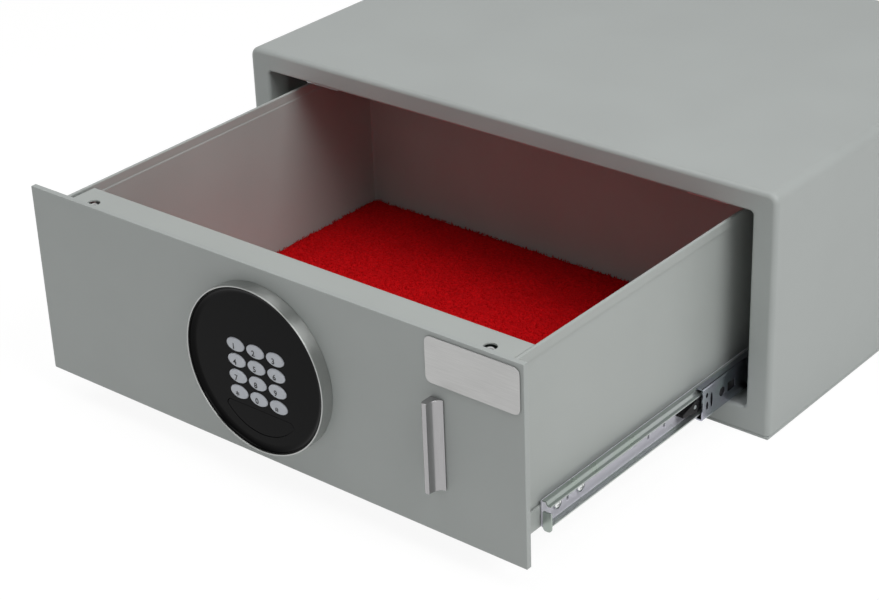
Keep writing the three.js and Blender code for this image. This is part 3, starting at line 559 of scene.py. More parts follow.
def casingPlates(shape):
    low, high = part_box("casing_base")
    inset = shape["fixingInset"]
    corner = shape["plateCorner"]
    base = makeObject("casing_base_plate", [plate(
        lambda d: fourCorners(low.x + d, high.x - d, low.y + d, high.y - d, corner, 2),
        "z", low.z, high.z, shape["plateEdge"])])
    corners = [(sx * (high.x - inset), sy * (high.y - inset), high.z / 2) for sx in (-1, 1) for sy in (-1, 1)]
    cutBy(base, fixingHoles("z", corners, shape["fixingHole"]))
    lowBack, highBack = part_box("casing_back")
    radius = shape["longEdge"]
    back = makeObject("casing_back_plate", [plate(
        lambda d: fourCorners(lowBack.x + d, highBack.x - d, lowBack.z + d, highBack.z - d,
                              (corner, corner, radius - d, radius - d)),
        "y", lowBack.y, highBack.y, shape["plateEdge"])])
    holes = [(sx * (highBack.x - inset), (lowBack.y + highBack.y) / 2, highBack.z - inset) for sx in (-1, 1)]
    cutBy(back, fixingHoles("y", holes, shape["fixingHole"]))
    return base, back


casingPieces = [casingShell(casingShape), *casingPlates(casingShape)]
for node, piece in zip(("casing_shell", "casing_base", "casing_back"), casingPieces):
    deliver(piece, "casing_paint", bodyOf(node), [node])
print("casing made")


# Runners: three nested steel channels a side, ball cages between them, brackets and release levers

runnerShape = {
    "sheet": 1.1 * mm,
    "bend": 0.9 * mm,
    "drawerHalf": 10.55 * mm,
    "drawerDepth": 8.2 * mm,
    "groove": (4.3 * mm, 1.1 * mm, 2.5 * mm),   # where the ball groove starts, its slope and depth
    "middleStart": 4.95 * mm,
    "middleLip": 1.2 * mm,
    "cabinetStart": 3.2 * mm,
    "cabinetLip": 2.9 * mm,
    "tabThickness": 1.1 * mm,
    "tabStart": 2.3 * mm,
    "tabMore": 1 * mm,       # tab past the rail's flanges
    "tabDrop": 11.75 * mm,
    "tabRise": 2.95 * mm,
    "tabCorners": (2 * mm, 3 * mm, 0.6 * mm, 0.6 * mm),
    "tabEdge": 0.25 * mm,
    "tabSunk": 0.2 * mm,     # how far the tab runs into the rail that it is bent from
    "leverPin": (1.8 * mm, -2.2 * mm, 4.7 * mm, 0.3 * mm),   # radius, both ends and rounded edge
    "pinStart": 2.5 * mm,
    "slots": (64.6 * mm, 157 * mm, 176 * mm),            # behind the panel's front face
    "slotHalf": (1.1 * mm, 4 * mm),
    "middleHole": (24.5 * mm, 3.5 * mm),                  # behind the middle rail's front end, and radius
    "middleSlot": (11 * mm, 0, 1.4 * mm, 4.2),            # also its height, and its length in widths
    "middleDimples": ((5.2 * mm, 6 * mm, 1.5 * mm, 1.2), (5.6 * mm, -2.4 * mm, 1.4 * mm, 2.2)),
    "windows": ((31.5 * mm, 41 * mm), (120 * mm, 150 * mm), (220 * mm, 250 * mm)),
    "windowHalf": 3.5 * mm,
    "cabinetHoles": (20 * mm, 148 * mm, 276 * mm),
    "cabinetHoleHalf": (5 * mm, 2.3 * mm),
    "toolHalf": 1.5 * mm,    # half the length of the tools that cut the webs
    "cageSheet": 0.5 * mm,
    "cageRise": 0.35 * mm,   # its strip's edge past the balls' middles
    "cageBend": 0.6 * mm,
    "ball": 1.5 * mm,
    "ballsPerRow": 3,
    "bracketSheet": 1.6 * mm,
    "bracketBend": 1.6 * mm,
    "bracketHalf": 22 * mm,
    "edge": 0.18 * mm,
}
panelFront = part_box("front_panel")[0].y
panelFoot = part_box("front_panel")[0].z
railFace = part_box("drawer_rail_right")[0].x
middleLow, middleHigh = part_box("middle_rail_right")
runnerHeight = (middleLow.z + middleHigh.z) / 2
# painted shade and light: the drawer rail's flanges and grooves are drawn darker and greener, and its web
# paler, for how light falls on them
finishes["zinc_rail"] = zincPlate("zinc_plated_drawer_rail", "#a4afa7", "#adb1b2", paintedLightWebCode="#e6e4ee",
                                  paintedLightWebEnds=(railFace + 1.2 * mm, railFace + 1.5 * mm))
finishes["zinc_middle"] = zincPlate("zinc_plated_middle_rail", "#a9b6b7", "#aaa8b6",
                                    {**steelLook, "roughness": (0.17, 0.23), "metal": 1.0})


def bothHalves(upper):
    # a section's upper half and its mirror image below the runner's middle height
    upper = np.asarray(upper, float)
    return np.vstack([upper[::-1], upper * (1, -1)])


def railSection(upper, thickness, bend):
    outline = bentSheet(bothHalves(upper), thickness, bend, 4)
    return outline + (railFace, runnerHeight)


def channelHalf(node, side, start, lip):
    # the upper half of a C section: web outside, flange back in to start, and a lip turned over the balls
    _, outer, low, high = asRight(node, side)
    t = runnerShape["sheet"] / 2
    web, upper = outer - railFace - t, (high.z - low.z) / 2 - t
    return web, [[web, upper], [start, upper], [start, upper - lip]]


def formedRail(node, side, path, cutters):
    low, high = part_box(node)
    rows = carried(railSection(path, runnerShape["sheet"], runnerShape["bend"]), "y", [low.y, high.y])
    piece = makeObject(node + "_formed", [surface(handed(side, rows))])
    cutBy(piece, cutters)
    rounded(piece, runnerShape["edge"], 2, 55)
    return piece


def webCutter(side, reach, y0, y1, half):
    # a square-ended tool through a rail's web, between two places along the runner
    inner, outer = railFace + reach - runnerShape["toolHalf"], railFace + reach + runnerShape["toolHalf"]
    if side == "left":
        inner, outer = -outer, -inner
    return blockCutter("slot", (inner, y0, runnerHeight - half), (outer, y1, runnerHeight + half))


def roundCutter(side, reach, y, radius, z=0.0, stretch=1.0):
    x = (railFace + reach) * (1 if side == "right" else -1)
    return rodCutter("hole", (x, y, runnerHeight + z), "x", radius, runnerShape["toolHalf"], 24, stretch)


def drawerRail(side):
    # a ball groove in each flange, a tab bent down at the front, and the pin that the release lever turns on
    shape = runnerShape
    t = shape["sheet"] / 2
    low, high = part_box("drawer_rail_" + side)
    upper = shape["drawerHalf"] - t
    start, slope, depth = shape["groove"]
    path = [[t, upper], [start, upper], [start + slope, upper - depth], [shape["drawerDepth"], upper - depth]]
    front = low.y + shape["tabThickness"]
    tabBox = (railFace + shape["tabStart"], railFace + shape["drawerDepth"] + shape["tabMore"],
              runnerHeight - shape["tabDrop"], runnerHeight + shape["tabRise"])
    tab = plate(lambda d: fourCorners(tabBox[0] + d, tabBox[1] - d, tabBox[2] + d, tabBox[3] - d,
                                      shape["tabCorners"], 5),
                "y", low.y, front + shape["tabSunk"], shape["tabEdge"])
    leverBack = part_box("release_lever_" + side)[1].y
    pivot = (railFace + shape["pinStart"], leverBack - leverShape["boss"], runnerHeight)
    radius, foot, top, edge = shape["leverPin"]
    pin = turned([[0, foot], [radius, foot], [radius, top - edge], [radius - edge, top], [0, top]],
                 pivot, "x", 20)
    rail = carried(railSection(path, shape["sheet"], shape["bend"]), "y", [front, high.y])
    body = makeObject("drawer_rail_" + side + "_formed", [surface(handed(side, rail))])
    halfWidth, halfHeight = shape["slotHalf"]
    slots = [webCutter(side, t, panelFront + y - halfWidth, panelFront + y + halfWidth, halfHeight)
             for y in shape["slots"]]
    cutBy(body, slots)
    rounded(body, shape["edge"], 2, 55)
    settle(body)
    body.modifiers.clear()
    tabPoints = tab[0] if side == "right" else mirroredX(tab[0])
    return joined(body, [(tabPoints, tab[1]), surface(handed(side, pin), capFirst=False, capLast=False)])


def joined(piece, surfaces):
    # adds separate closed surfaces to a piece's mesh
    extra = makeObject("extra", surfaces)
    work = bmesh.new()
    work.from_mesh(piece.data)
    work.from_mesh(extra.data)
    work.to_mesh(piece.data)
    work.free()
    bpy.data.objects.remove(extra)
    return piece


def middleRail(side):
    shape, node = runnerShape, "middle_rail_" + side
    web, path = channelHalf(node, side, shape["middleStart"], shape["middleLip"])
    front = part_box(node)[0].y
    cutters = [webCutter(side, web, front + y0, front + y1, shape["windowHalf"])
               for y0, y1 in shape["windows"]]
    hole, radius = shape["middleHole"]
    cutters.append(roundCutter(side, web, front + hole, radius))
    cutters += [roundCutter(side, web, front + y, radius, z, stretch)
                for y, z, radius, stretch in (shape["middleSlot"], *shape["middleDimples"])]
    return formedRail(node, side, path, cutters)


def cabinetRail(side):
    shape, node = runnerShape, "cabinet_rail_" + side
    web, path = channelHalf(node, side, shape["cabinetStart"], shape["cabinetLip"])
    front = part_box(node)[0].y
    halfLength, halfHeight = shape["cabinetHoleHalf"]
    cutters = [webCutter(side, web, front + y - halfLength, front + y + halfLength, halfHeight)
               for y in shape["cabinetHoles"]]
    return formedRail(node, side, path, cutters)


def ballCage(node, side):
    # a thin strip bent over both rows of balls; the balls are half circles turned round their middles
    shape = runnerShape
    inner, outer, low, high = asRight(node, side)
    t = shape["cageSheet"] / 2
    rowHeight = (high.z - low.z) / 2 - shape["ball"]
    edge = rowHeight + shape["cageRise"]
    path = [[outer - railFace - t, edge], [inner - railFace, edge]]
    length = high.y - low.y
    t0 = np.linspace(0, math.pi, 13)
    ball = np.stack([shape["ball"] * np.sin(t0), -shape["ball"] * np.cos(t0)], axis=-1)
    places = [low.y + length * (i + 0.5) / shape["ballsPerRow"] for i in range(shape["ballsPerRow"])]
    balls = [turned(ball, (inner + shape["ball"], y, runnerHeight + sign * rowHeight), "x", 20)
             for y in places for sign in (-1, 1)]
    strip = carried(railSection(path, shape["cageSheet"], shape["cageBend"]), "y", [low.y, high.y])
    surfaces = [surface(handed(side, strip))]
    surfaces += [surface(handed(side, rows), capFirst=False, capLast=False) for rows in balls]
    return makeObject(node + "_strip", surfaces)


def runnerBracket(side):
    # a hat section: its crown carries the cabinet rail, and its feet lie on the casing's side
    shape = runnerShape
    inner, outer, low, high = asRight("runner_bracket_" + side, side)
    t = shape["bracketSheet"] / 2
    top = (high.z - low.z) / 2
    path = bothHalves([[inner + t, shape["bracketHalf"]], [outer - t, shape["bracketHalf"]],
                       [outer - t, top]])
    section = bentSheet(path, shape["bracketSheet"], shape["bracketBend"], 4) + (0, runnerHeight)
    bracket = makeObject("runner_bracket_" + side + "_folded",
                         [surface(handed(side, carried(section, "y", [low.y, high.y])))])
    rounded(bracket, 0.2 * mm, 2, 55)
    return bracket


leverShape = {"half": 3.6 * mm, "boss": 5 * mm, "shorter": 5 * mm, "taper": 11 * mm, "tip": 1.2 * mm,
              "pivot": 2.1 * mm}


def releaseLever(side):
    # an arm that ends in a round boss at its pivot: the boss is three fifths of a turn each way
    shape = leverShape
    inner, outer, low, high = asRight("release_lever_" + side, side)
    pivot = high.y - shape["boss"]
    t = np.linspace(-0.6 * math.pi, 0.6 * math.pi, 25)
    boss = np.stack([pivot + shape["boss"] * np.cos(t), runnerHeight + shape["boss"] * np.sin(t)], axis=-1)
    half, point, front = shape["half"], shape["tip"], low.y + shape["shorter"]
    taper = front + shape["taper"]
    tip = [[taper, half], [front, point], [front, -point], [taper, -half]]
    outline = np.vstack([boss, np.array(tip) + (0, runnerHeight)])
    lever = makeObject("release_lever_" + side + "_moulded",
                       [surface(handed(side, carried(outline, "x", [inner, outer])))])
    sign = 1 if side == "right" else -1
    cutBy(lever, [rodCutter("hole", (sign * (inner + outer) / 2, pivot, runnerHeight), "x", shape["pivot"],
                            5 * mm, 24)])
    rounded(lever, 0.35 * mm, 2, 50)
    return lever


screwShape = {"shank": 1.9 * mm, "head": 3.7 * mm, "rise": 2.1 * mm, "neck": 1.0 * mm, "cross": 0.45 * mm,
              "crossReach": 2.1 * mm, "crossDepth": 1.1 * mm, "crossOver": 1 * mm}


def panScrew(node, axisSign):
    # a pan head: its crown is an arc from the rim to the middle, with a cross cut into it
    shape = screwShape
    low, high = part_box(node)
    middle = (low + high) / 2
    t = np.radians(np.linspace(0, 90, 7))
    base = high.x - shape["rise"] if axisSign > 0 else -low.x - shape["rise"]
    foot = low.x if axisSign > 0 else -high.x
    crown = np.stack([shape["head"] * np.cos(t),
                      base + shape["neck"] + (shape["rise"] - shape["neck"]) * np.sin(t)], axis=-1)
    profile = np.vstack([[[0, foot], [shape["shank"], foot], [shape["shank"], base], [shape["head"], base]],
                         crown])
    side = "right" if axisSign > 0 else "left"
    rows = handed(side, turned(profile, (0, middle.y, middle.z), "x", 28))
    screw = makeObject(node + "_pan", [surface(rows, capFirst=False, capLast=False)])
    reach, cross = shape["crossReach"], shape["cross"]
    top = axisSign * (base + shape["rise"])
    tools = []
    near, far = sorted((top, top - axisSign * shape["crossDepth"]))
    for along, across in ((reach, cross), (cross, reach)):
        tools.append(blockCutter("cross", (near, middle.y - along, middle.z - across),
                                 (far + shape["crossOver"], middle.y + along, middle.z + across)))
    cutBy(screw, tools)
    return screw


for side in sides:
    for node, made, slotName, look in (
            ("drawer_rail_" + side, drawerRail(side), "zinc_steel", "zinc_rail"),
            ("middle_rail_" + side, middleRail(side), "zinc_steel", "zinc_middle"),
            ("cabinet_rail_" + side, cabinetRail(side), "zinc_steel", None),
            # painted shade: the inner ball cage and its balls take the black plastic finish, which darkens
            # the channel inside the middle rail and what shows through its holes
            ("inner_ball_cage_" + side, ballCage("inner_ball_cage_" + side, side), "zinc_steel",
             "black_plastic"),
            ("outer_ball_cage_" + side, ballCage("outer_ball_cage_" + side, side), "zinc_steel", None),
            ("runner_bracket_" + side, runnerBracket(side), "zinc_steel", None),
            ("release_lever_" + side, releaseLever(side), "black_plastic", None)):
        deliver(made, slotName, bodyOf(node), [node], look=look)
    for number in ("1", "2"):
        node = "rail_screw_" + side + "_" + number
        deliver(panScrew(node, 1 if side == "right" else -1), "bright_steel", bodyOf(node), [node])
print("runners made")


# Bolt keepers: hat-shaped plates under the opening's upper fold

keeperShape = {"sheet": 2 * mm, "tab": 9 * mm, "bend": 2.2 * mm, "hole": 5 * mm, "toolHalf": 1.8 * mm,
               "edge": 0.25 * mm}


def boltKeeper(side):
    shape = keeperShape
    inner, outer, low, high = asRight("bolt_keeper_" + side, side)
    t = shape["sheet"] / 2
    path = [[inner, high.z - t], [inner + shape["tab"], high.z - t], [inner + shape["tab"], low.z + t],
            [outer - shape["tab"], low.z + t], [outer - shape["tab"], high.z - t], [outer, high.z - t]]
    keeper = makeObject("bolt_keeper_" + side + "_pressed", [surface(handed(side, carried(
        bentSheet(path, shape["sheet"], shape["bend"], 4), "y", [low.y, high.y])))])
    middle = (low + high) / 2
    cutBy(keeper, [rodCutter("hole", (middle.x, middle.y, low.z + t), "z", shape["hole"], shape["toolHalf"])])
    rounded(keeper, shape["edge"], 2, 55)
    return keeper


for side in sides:
    deliver(boltKeeper(side), "zinc_steel", "casing", ["bolt_keeper_" + side])


# Drawer: tray with rolled hems, base pan, lock channel and front panel

drawerShape = {
    "sheet": 1.2 * mm,
    "hemHeight": 7 * mm,
    "hemGap": 0.05 * mm,
    "floorBend": 1.8 * mm,
    "cornerFillet": 2.5 * mm,
    "panBend": 1.6 * mm,
    "channelBend": 1.3 * mm,
    "channelLip": 10 * mm,
    "channelFoot": 11 * mm,
    "boltHole": 4.75 * mm,
    "channelMore": 2.4 * mm,   # channel reaches closer to the right wall than to the left one
    "crease": (7.2 * mm, 0.9 * mm, 0.45 * mm),   # the step below the rim: its depth, height and inset
    "backTop": 0.1 * mm,       # the back plate's edge below the rim
    "edge": 0.15 * mm,
    "panelEdge": 0.5 * mm,
    "panelCorner": 0.6 * mm,
    "toolHalf": 4 * mm,        # half the length of the tools that cut the panel
    "holderGap": 0.3 * mm,
    "cableHole": 10 * mm,
    "cableRise": 8 * mm,       # above the dial's centre
    "screwHole": 1.8 * mm,
}


def drawerTray(shape):
    # a U section with the rim turned out and down over itself, and a back plate with filleted corners
    low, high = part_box("drawer_tray")
    t = shape["sheet"] / 2
    outer = high.x - shape["sheet"] - shape["hemGap"]
    wall = outer - t
    hem = wall + shape["sheet"] + shape["hemGap"]
    rim, floor = high.z - t, low.z + t
    below, slant, inset = shape["crease"]
    half = [[hem, high.z - shape["hemHeight"]], [hem, rim], [wall, rim], [wall, high.z - below],
            [wall - inset, high.z - below - slant], [wall - inset, floor]]
    path = np.vstack([half, (np.array(half) * (-1, 1))[::-1]])
    line = bentSheet(path, shape["sheet"], shape["floorBend"], 6)
    section = carried(line, "y", [low.y, high.y])
    inside = wall - t
    fillet = shape["cornerFillet"]
    face = high.y - shape["sheet"]
    t0 = np.radians(np.linspace(0, 90, 8))
    curve = np.stack([inside - fillet * (1 - np.cos(t0)), face - fillet * (1 - np.sin(t0))], axis=-1)
    right = np.vstack([[[inside, high.y]], curve])
    outline = np.vstack([right, (right * (-1, 1))[::-1]])
    back = carried(outline, "z", [floor, high.z - shape["backTop"]])
    tray = makeObject("drawer_tray_folded", [surface(section), surface(back)])
    rounded(tray, shape["edge"], 2, 60)
    return tray


def drawerPan(shape):
    # a shallow U under the tray, whose flanges carry the runners
    low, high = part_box("drawer_base")
    t = shape["sheet"] / 2
    path = [[low.x + t, high.z], [low.x + t, low.z + t], [high.x - t, low.z + t], [high.x - t, high.z]]
    pan = makeObject("drawer_base_pan", [surface(carried(
        bentSheet(path, shape["sheet"], shape["panBend"]), "y", [low.y, high.y]))])
    rounded(pan, shape["edge"], 2, 60)
    return pan


def lockChannel(shape):
    # a Z with a lip: it closes the tray's front, and the bolts rise through its top
    low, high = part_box("lock_channel")
    t = shape["sheet"] / 2
    path = [[low.y + t, high.z - shape["channelLip"]], [low.y + t, high.z - t], [high.y - t, high.z - t],
            [high.y - t, low.z + t], [high.y - shape["channelFoot"], low.z + t]]
    section = bentSheet(path, shape["sheet"], shape["channelBend"])
    channel = makeObject("lock_channel_folded", [surface(carried(
        section, "x", [low.x, high.x + shape["channelMore"]]))])
    holes = []
    for side in sides:
        boltLow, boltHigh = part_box("bolt_" + side)
        middle = (boltLow + boltHigh) / 2
        holes.append(rodCutter("hole", (middle.x, middle.y, high.z), "z", shape["boltHole"], 3 * mm, 40))
    cutBy(channel, holes)
    rounded(channel, shape["edge"], 2, 60)
    return channel


def frontPanel(shape):
    # a flat plate with an opening for the cells' holder and holes for the cable and the handle's screws
    low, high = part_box("front_panel")
    panel = makeObject("front_panel_plate", [plate(
        lambda d: fourCorners(low.x + d, high.x - d, low.z + d, high.z - d, shape["panelCorner"], 4),
        "y", low.y, high.y, shape["panelEdge"], 4)])
    holderLow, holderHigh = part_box("battery_holder")
    gap, half, middleY = shape["holderGap"], shape["toolHalf"], (low.y + high.y) / 2
    window = blockCutter("window", (holderLow.x - gap, middleY - half, holderLow.z - gap),
                         (holderHigh.x + gap, middleY + half, holderHigh.z + gap))
    ringLow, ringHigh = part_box("lock_ring")
    dial = (ringLow + ringHigh) / 2
    tools = [window, rodCutter("cable", (dial.x, middleY, dial.z + shape["cableRise"]), "y",
                               shape["cableHole"], half)]
    for number in ("1", "2"):
        screwLow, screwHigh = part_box("handle_screw_" + number)
        middle = (screwLow + screwHigh) / 2
        tools.append(rodCutter("hole", (middle.x, middleY, middle.z), "y", shape["screwHole"], half, 20))
    cutBy(panel, tools)
    return panel


for node, make in (("drawer_tray", drawerTray), ("drawer_base", drawerPan), ("lock_channel", lockChannel)):
    deliver(make(drawerShape), "drawer_paint", "drawer", [node])
deliver(frontPanel(drawerShape), "panel_paint", "drawer", ["front_panel"])
print("drawer made")


# Bolts: turned pins with a polished round tip

boltShape = {"stem": 2.5 * mm, "stemLength": 3.1 * mm, "dome": 2.4 * mm}


def lockBolt(side):
    # the tip is a quarter of an ellipse: r cos t, top - dome(1 - sin t)
    low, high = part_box("bolt_" + side)
    middle = (low + high) / 2
    radius, stem = (high.x - low.x) / 2, boltShape["stem"]
    seat = low.z + boltShape["stemLength"]
    t = np.radians(np.linspace(0, 90, 14))
    crown = np.stack([radius * np.cos(t), high.z - boltShape["dome"] * (1 - np.sin(t))], axis=-1)
    profile = np.vstack([[[0, low.z], [stem, low.z], [stem, seat], [radius, seat]], crown])
    return makeObject("bolt_" + side + "_turned", [surface(
        turned(profile, (middle.x, middle.y, 0), "z", 48), capFirst=False, capLast=False)])


for side in sides:
    deliver(lockBolt(side), "bright_steel", bodyOf("bolt_" + side), ["bolt_" + side], angle=25)


# Lock dial: ring, dished face, oval keys with printed figures, and the battery cover

dialShape = {
    "ringWall": 1 * mm,
    "ringRound": 0.5 * mm,
    "faceRise": 3 * mm,
    "faceSlope": 5 * mm,
    "faceThickness": 2.2 * mm,
    "faceFlat": 0.6,         # share of the face's radius up to its first ring of points
    "faceRim": (0.7 * mm, 0.3 * mm),     # its width, and its outer edge
    "faceEdge": 0.2 * mm,
    "keyRound": 0.8 * mm,
    "keyCrown": 0.35 * mm,
    "keyGap": 0.3 * mm,
    "ovalPoints": 48,
    "figureSize": 6 * mm,
    "figureOffset": (-1.2 * mm, -1.3 * mm),
    "figureBold": 0.1 * mm,
    "figureThickness": 0.05 * mm,
    "figureStart": 0.03 * mm,
    "signs": {"star": ("*", 1.3, 1, 0.25), "hash": ("#", 0.85, 0.2, 0)},    # size, boldness and drop
    "coverGap": 0.3 * mm,
    "toolOver": 1 * mm,      # how far a cutting tool stands out of the face
    "coverCorner": 4 * mm,
    "coverWidth": 0.985,     # the lower arc's share of its full width, clear of the corners
    "coverEdge": 0.3 * mm,
}
ringLow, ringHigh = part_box("lock_ring")
dialCentre = (ringLow + ringHigh) / 2


def lockRing(shape):
    # a thin tube with a rounded front edge: the profile goes up the outside, over and down the inside
    outer = ringHigh.x
    inner = outer - shape["ringWall"]
    bend = quarter(shape["ringRound"], 5)
    outside = np.stack([outer - bend[:, 0], ringLow.y + bend[:, 1]], axis=-1)
    inside = np.stack([inner + bend[::-1, 0], ringLow.y + bend[::-1, 1]], axis=-1)
    profile = np.vstack([[[outer, ringHigh.y]], outside, inside, [[inner, ringHigh.y]]])
    rows = turned(profile, (0, 0, dialCentre.z), "y", 192)
    return makeObject("lock_ring_tube", [surface(rows, capFirst=False, capLast=False, closeRows=True)])


def coverOutline(inset):
    # the cover: straight upper edge with rounded corners, and an arc below that follows the face's rim
    low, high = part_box("battery_cover")
    half, top, bottom = high.x - inset, high.z - inset, low.z + inset
    corner = dialShape["coverCorner"]
    rise = top - bottom - corner
    radius = (half ** 2 + rise ** 2) / (2 * rise)
    t = np.radians(np.linspace(0, 90, 7))
    right = np.stack([half - corner + corner * np.cos(t), top - corner + corner * np.sin(t)], axis=-1)
    left = (right * (-1, 1))[::-1]
    reach = math.asin(min(1, half / radius)) * dialShape["coverWidth"]
    a = np.linspace(-math.pi / 2 - reach, -math.pi / 2 + reach, 25)
    arc = np.stack([radius * np.cos(a), bottom + radius + radius * np.sin(a)], axis=-1)
    return np.vstack([right, left, arc])


def keyOutline(node, grow):
    # an ellipse round the key, grown by a gap: (a + gap) cos t, (b + gap) sin t
    low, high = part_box(node)
    middle = (low + high) / 2
    t = np.linspace(0, 2 * math.pi, dialShape["ovalPoints"], endpoint=False)
    return np.stack([middle.x + ((high.x - low.x) / 2 + grow) * np.cos(t),
                     middle.z + ((high.z - low.z) / 2 + grow) * np.sin(t)], axis=-1)


keyNodes = ["key_" + label for label in ("1", "2", "3", "4", "5", "6", "7", "8", "9", "star", "0", "hash")]


def keypadFace(shape):
    # a dish: flat in the middle, then a quarter of an ellipse out to the rim
    low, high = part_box("keypad_face")
    radius = high.x
    flat = low.y + shape["faceRise"]
    t = np.radians(np.linspace(0, 88, 12))
    rim, edge = shape["faceRim"]
    bowl = np.stack([radius - shape["faceSlope"] + (shape["faceSlope"] - rim) * np.sin(t),
                     flat - shape["faceRise"] * (1 - np.cos(t))], axis=-1)
    back = flat + shape["faceThickness"]
    skirt = radius - shape["faceThickness"]
    profile = np.vstack([[[0, flat], [radius * shape["faceFlat"], flat]], bowl,
                         [[radius - edge, low.y], [radius, low.y + edge], [radius, high.y],
                          [skirt, high.y], [skirt, back], [0, back]]])
    face = makeObject("keypad_face_dish", [surface(turned(profile, (0, 0, dialCentre.z), "y", 192),
                                                   capFirst=False, capLast=False)])
    ends = [low.y - shape["toolOver"], high.y + shape["toolOver"]]
    outlines = [keyOutline(node, shape["keyGap"]) for node in keyNodes] + [coverOutline(-shape["coverGap"])]
    cutBy(face, [makeObject("tool", [surface(carried(outline, "y", ends))]) for outline in outlines])
    rounded(face, shape["faceEdge"], 2, 60)
    return face


def keyCap(node, shape):
    # an oval cap: its edge is a quarter round, and its front swells by crown(1 - s^2) towards the middle
    low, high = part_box(node)
    middle = (low + high) / 2
    halfX, halfZ = (high.x - low.x) / 2, (high.z - low.z) / 2
    bend = quarter(shape["keyRound"], 5)
    crown = shape["keyCrown"]
    inner = halfZ - shape["keyRound"]
    s = np.linspace(1, 0, 9)[1:]
    rows = [(0.0, high.y)] + [(inset, low.y + crown + back) for inset, back in bend]
    rows += [(shape["keyRound"] + inner * (1 - k), low.y + crown * k * k) for k in s]
    t = np.linspace(0, 2 * math.pi, shape["ovalPoints"], endpoint=False)
    points = np.empty((len(rows), len(t), 3))
    for row, (inset, y) in enumerate(rows):
        share = max(0.0, 1 - inset / halfZ)
        points[row, :, 0] = middle.x + (halfX - halfZ + halfZ * share if share > 0 else 0) * np.cos(t)
        points[row, :, 2] = middle.z + halfZ * share * np.sin(t)
        points[row, :, 1] = y
    points[-1, :, 0] = middle.x + (halfX - halfZ) * np.cos(t)
    return makeObject(node + "_cap", [surface(points)])


def figure(node, shape):
    # a printed figure in the lower half of a key: text turned into a thin mesh that faces forwards
    label = node.rsplit("_", 1)[1]
    word, share, bold, drop = shape["signs"].get(label, (label, 1, 1, 0))
    low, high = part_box(node)
    middle = (low + high) / 2
    curve = bpy.data.curves.new("figure", "FONT")
    curve.body = word
    curve.size = shape["figureSize"] * share
    curve.offset = shape["figureBold"] * bold
    curve.align_x = "CENTER"
    curve.align_y = "CENTER"
    curve.extrude = shape["figureThickness"]
    curve.resolution_u = 4
    holder = bpy.data.objects.new("figure", curve)
    bpy.context.scene.collection.objects.link(holder)
    graph = bpy.context.evaluated_depsgraph_get()
    mesh = bpy.data.meshes.new_from_object(holder.evaluated_get(graph))
    bpy.data.objects.remove(holder)
    offsetX, offsetZ = shape["figureOffset"]
    place = Matrix.Translation((middle.x + offsetX, low.y + shape["figureStart"],
                                middle.z + offsetZ - shape["figureSize"] * drop))
    mesh.transform(place @ Matrix.Rotation(math.pi / 2, 4, "X"))
    work = bmesh.new()
    work.from_mesh(mesh)
    bmesh.ops.remove_doubles(work, verts=work.verts, dist=1e-6)
    bmesh.ops.recalc_face_normals(work, faces=work.faces)
    work.to_mesh(mesh)
    work.free()
    piece = bpy.data.objects.new(node + "_figure", mesh)
    bpy.context.scene.collection.objects.link(piece)
    return piece


deliver(lockRing(dialShape), "satin_chrome", bodyOf("lock_ring"), ["lock_ring"])
deliver(keypadFace(dialShape), "black_gloss", bodyOf("keypad_face"), ["keypad_face"])
for node in keyNodes:
    deliver(keyCap(node, dialShape), "key_grey", bodyOf(node), [node])
    deliver(figure(node, dialShape), "key_grey", bodyOf(node), look="digit_ink")
coverLow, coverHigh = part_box("battery_cover")
cover = makeObject("battery_cover_moulded", [plate(coverOutline, "y", coverLow.y, coverHigh.y,
                                                   dialShape["coverEdge"])])
deliver(cover, "black_gloss", bodyOf("battery_cover"), ["battery_cover"])
print("lock dial made")


# Handle and label plate

handleShape = {"lip": 4.7 * mm, "round": 2.6 * mm, "hollowLip": 0.4 * mm, "foot": 1.2 * mm, "edge": 0.5 * mm}


def pullHandle(shape):
    # upright section: a lip rounded on the left, and a quarter of an ellipse hollowed out on the right
    low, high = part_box("handle")
    right, left, front, back = high.x, low.x, low.y, high.y
    lipRight = left + shape["lip"]
    hollowFront = front + shape["hollowLip"]
    foot = back - shape["foot"]
    t = np.linspace(math.pi, math.pi / 2, 14)
    hollow = np.stack([right + (right - lipRight) * np.cos(t),
                       hollowFront + (foot - hollowFront) * np.sin(t)], axis=-1)
    corner = np.radians(np.linspace(180, 270, 12))
    nose = np.stack([left + shape["round"] * (1 + np.cos(corner)),
                     front + shape["round"] * (1 + np.sin(corner))], axis=-1)
    outline = np.vstack([[[left, back]], nose, [[lipRight - shape["hollowLip"], front]], hollow,
                         [[right, back]]])
    handle = makeObject("handle_pull", [surface(carried(outline, "z", [low.z, high.z]))])
    rounded(handle, shape["edge"], 3, 50)
    return handle


labelShape = {"corner": 5 * mm, "edge": 0.4 * mm, "trim": (0.8 * mm, 1.0 * mm, 0.2 * mm)}


def labelPlate(shape):
    # trimmed at its left, bottom and top edges
    low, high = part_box("label_plate")
    left, bottom, top = low.x + shape["trim"][0], low.z + shape["trim"][1], high.z - shape["trim"][2]
    return makeObject("label_plate_bare", [plate(
        lambda d: fourCorners(left + d, high.x - d, bottom + d, top - d, shape["corner"] - d, 10),
        "y", low.y, high.y, shape["edge"], 4)])


deliver(pullHandle(handleShape), "satin_aluminium", bodyOf("handle"), ["handle"])
deliver(labelPlate(labelShape), "satin_aluminium", bodyOf("label_plate"), ["label_plate"], look="label_foil")
print("handle and label made")


# Mat: a needled felt pad with a short pile of leaning fibre tips

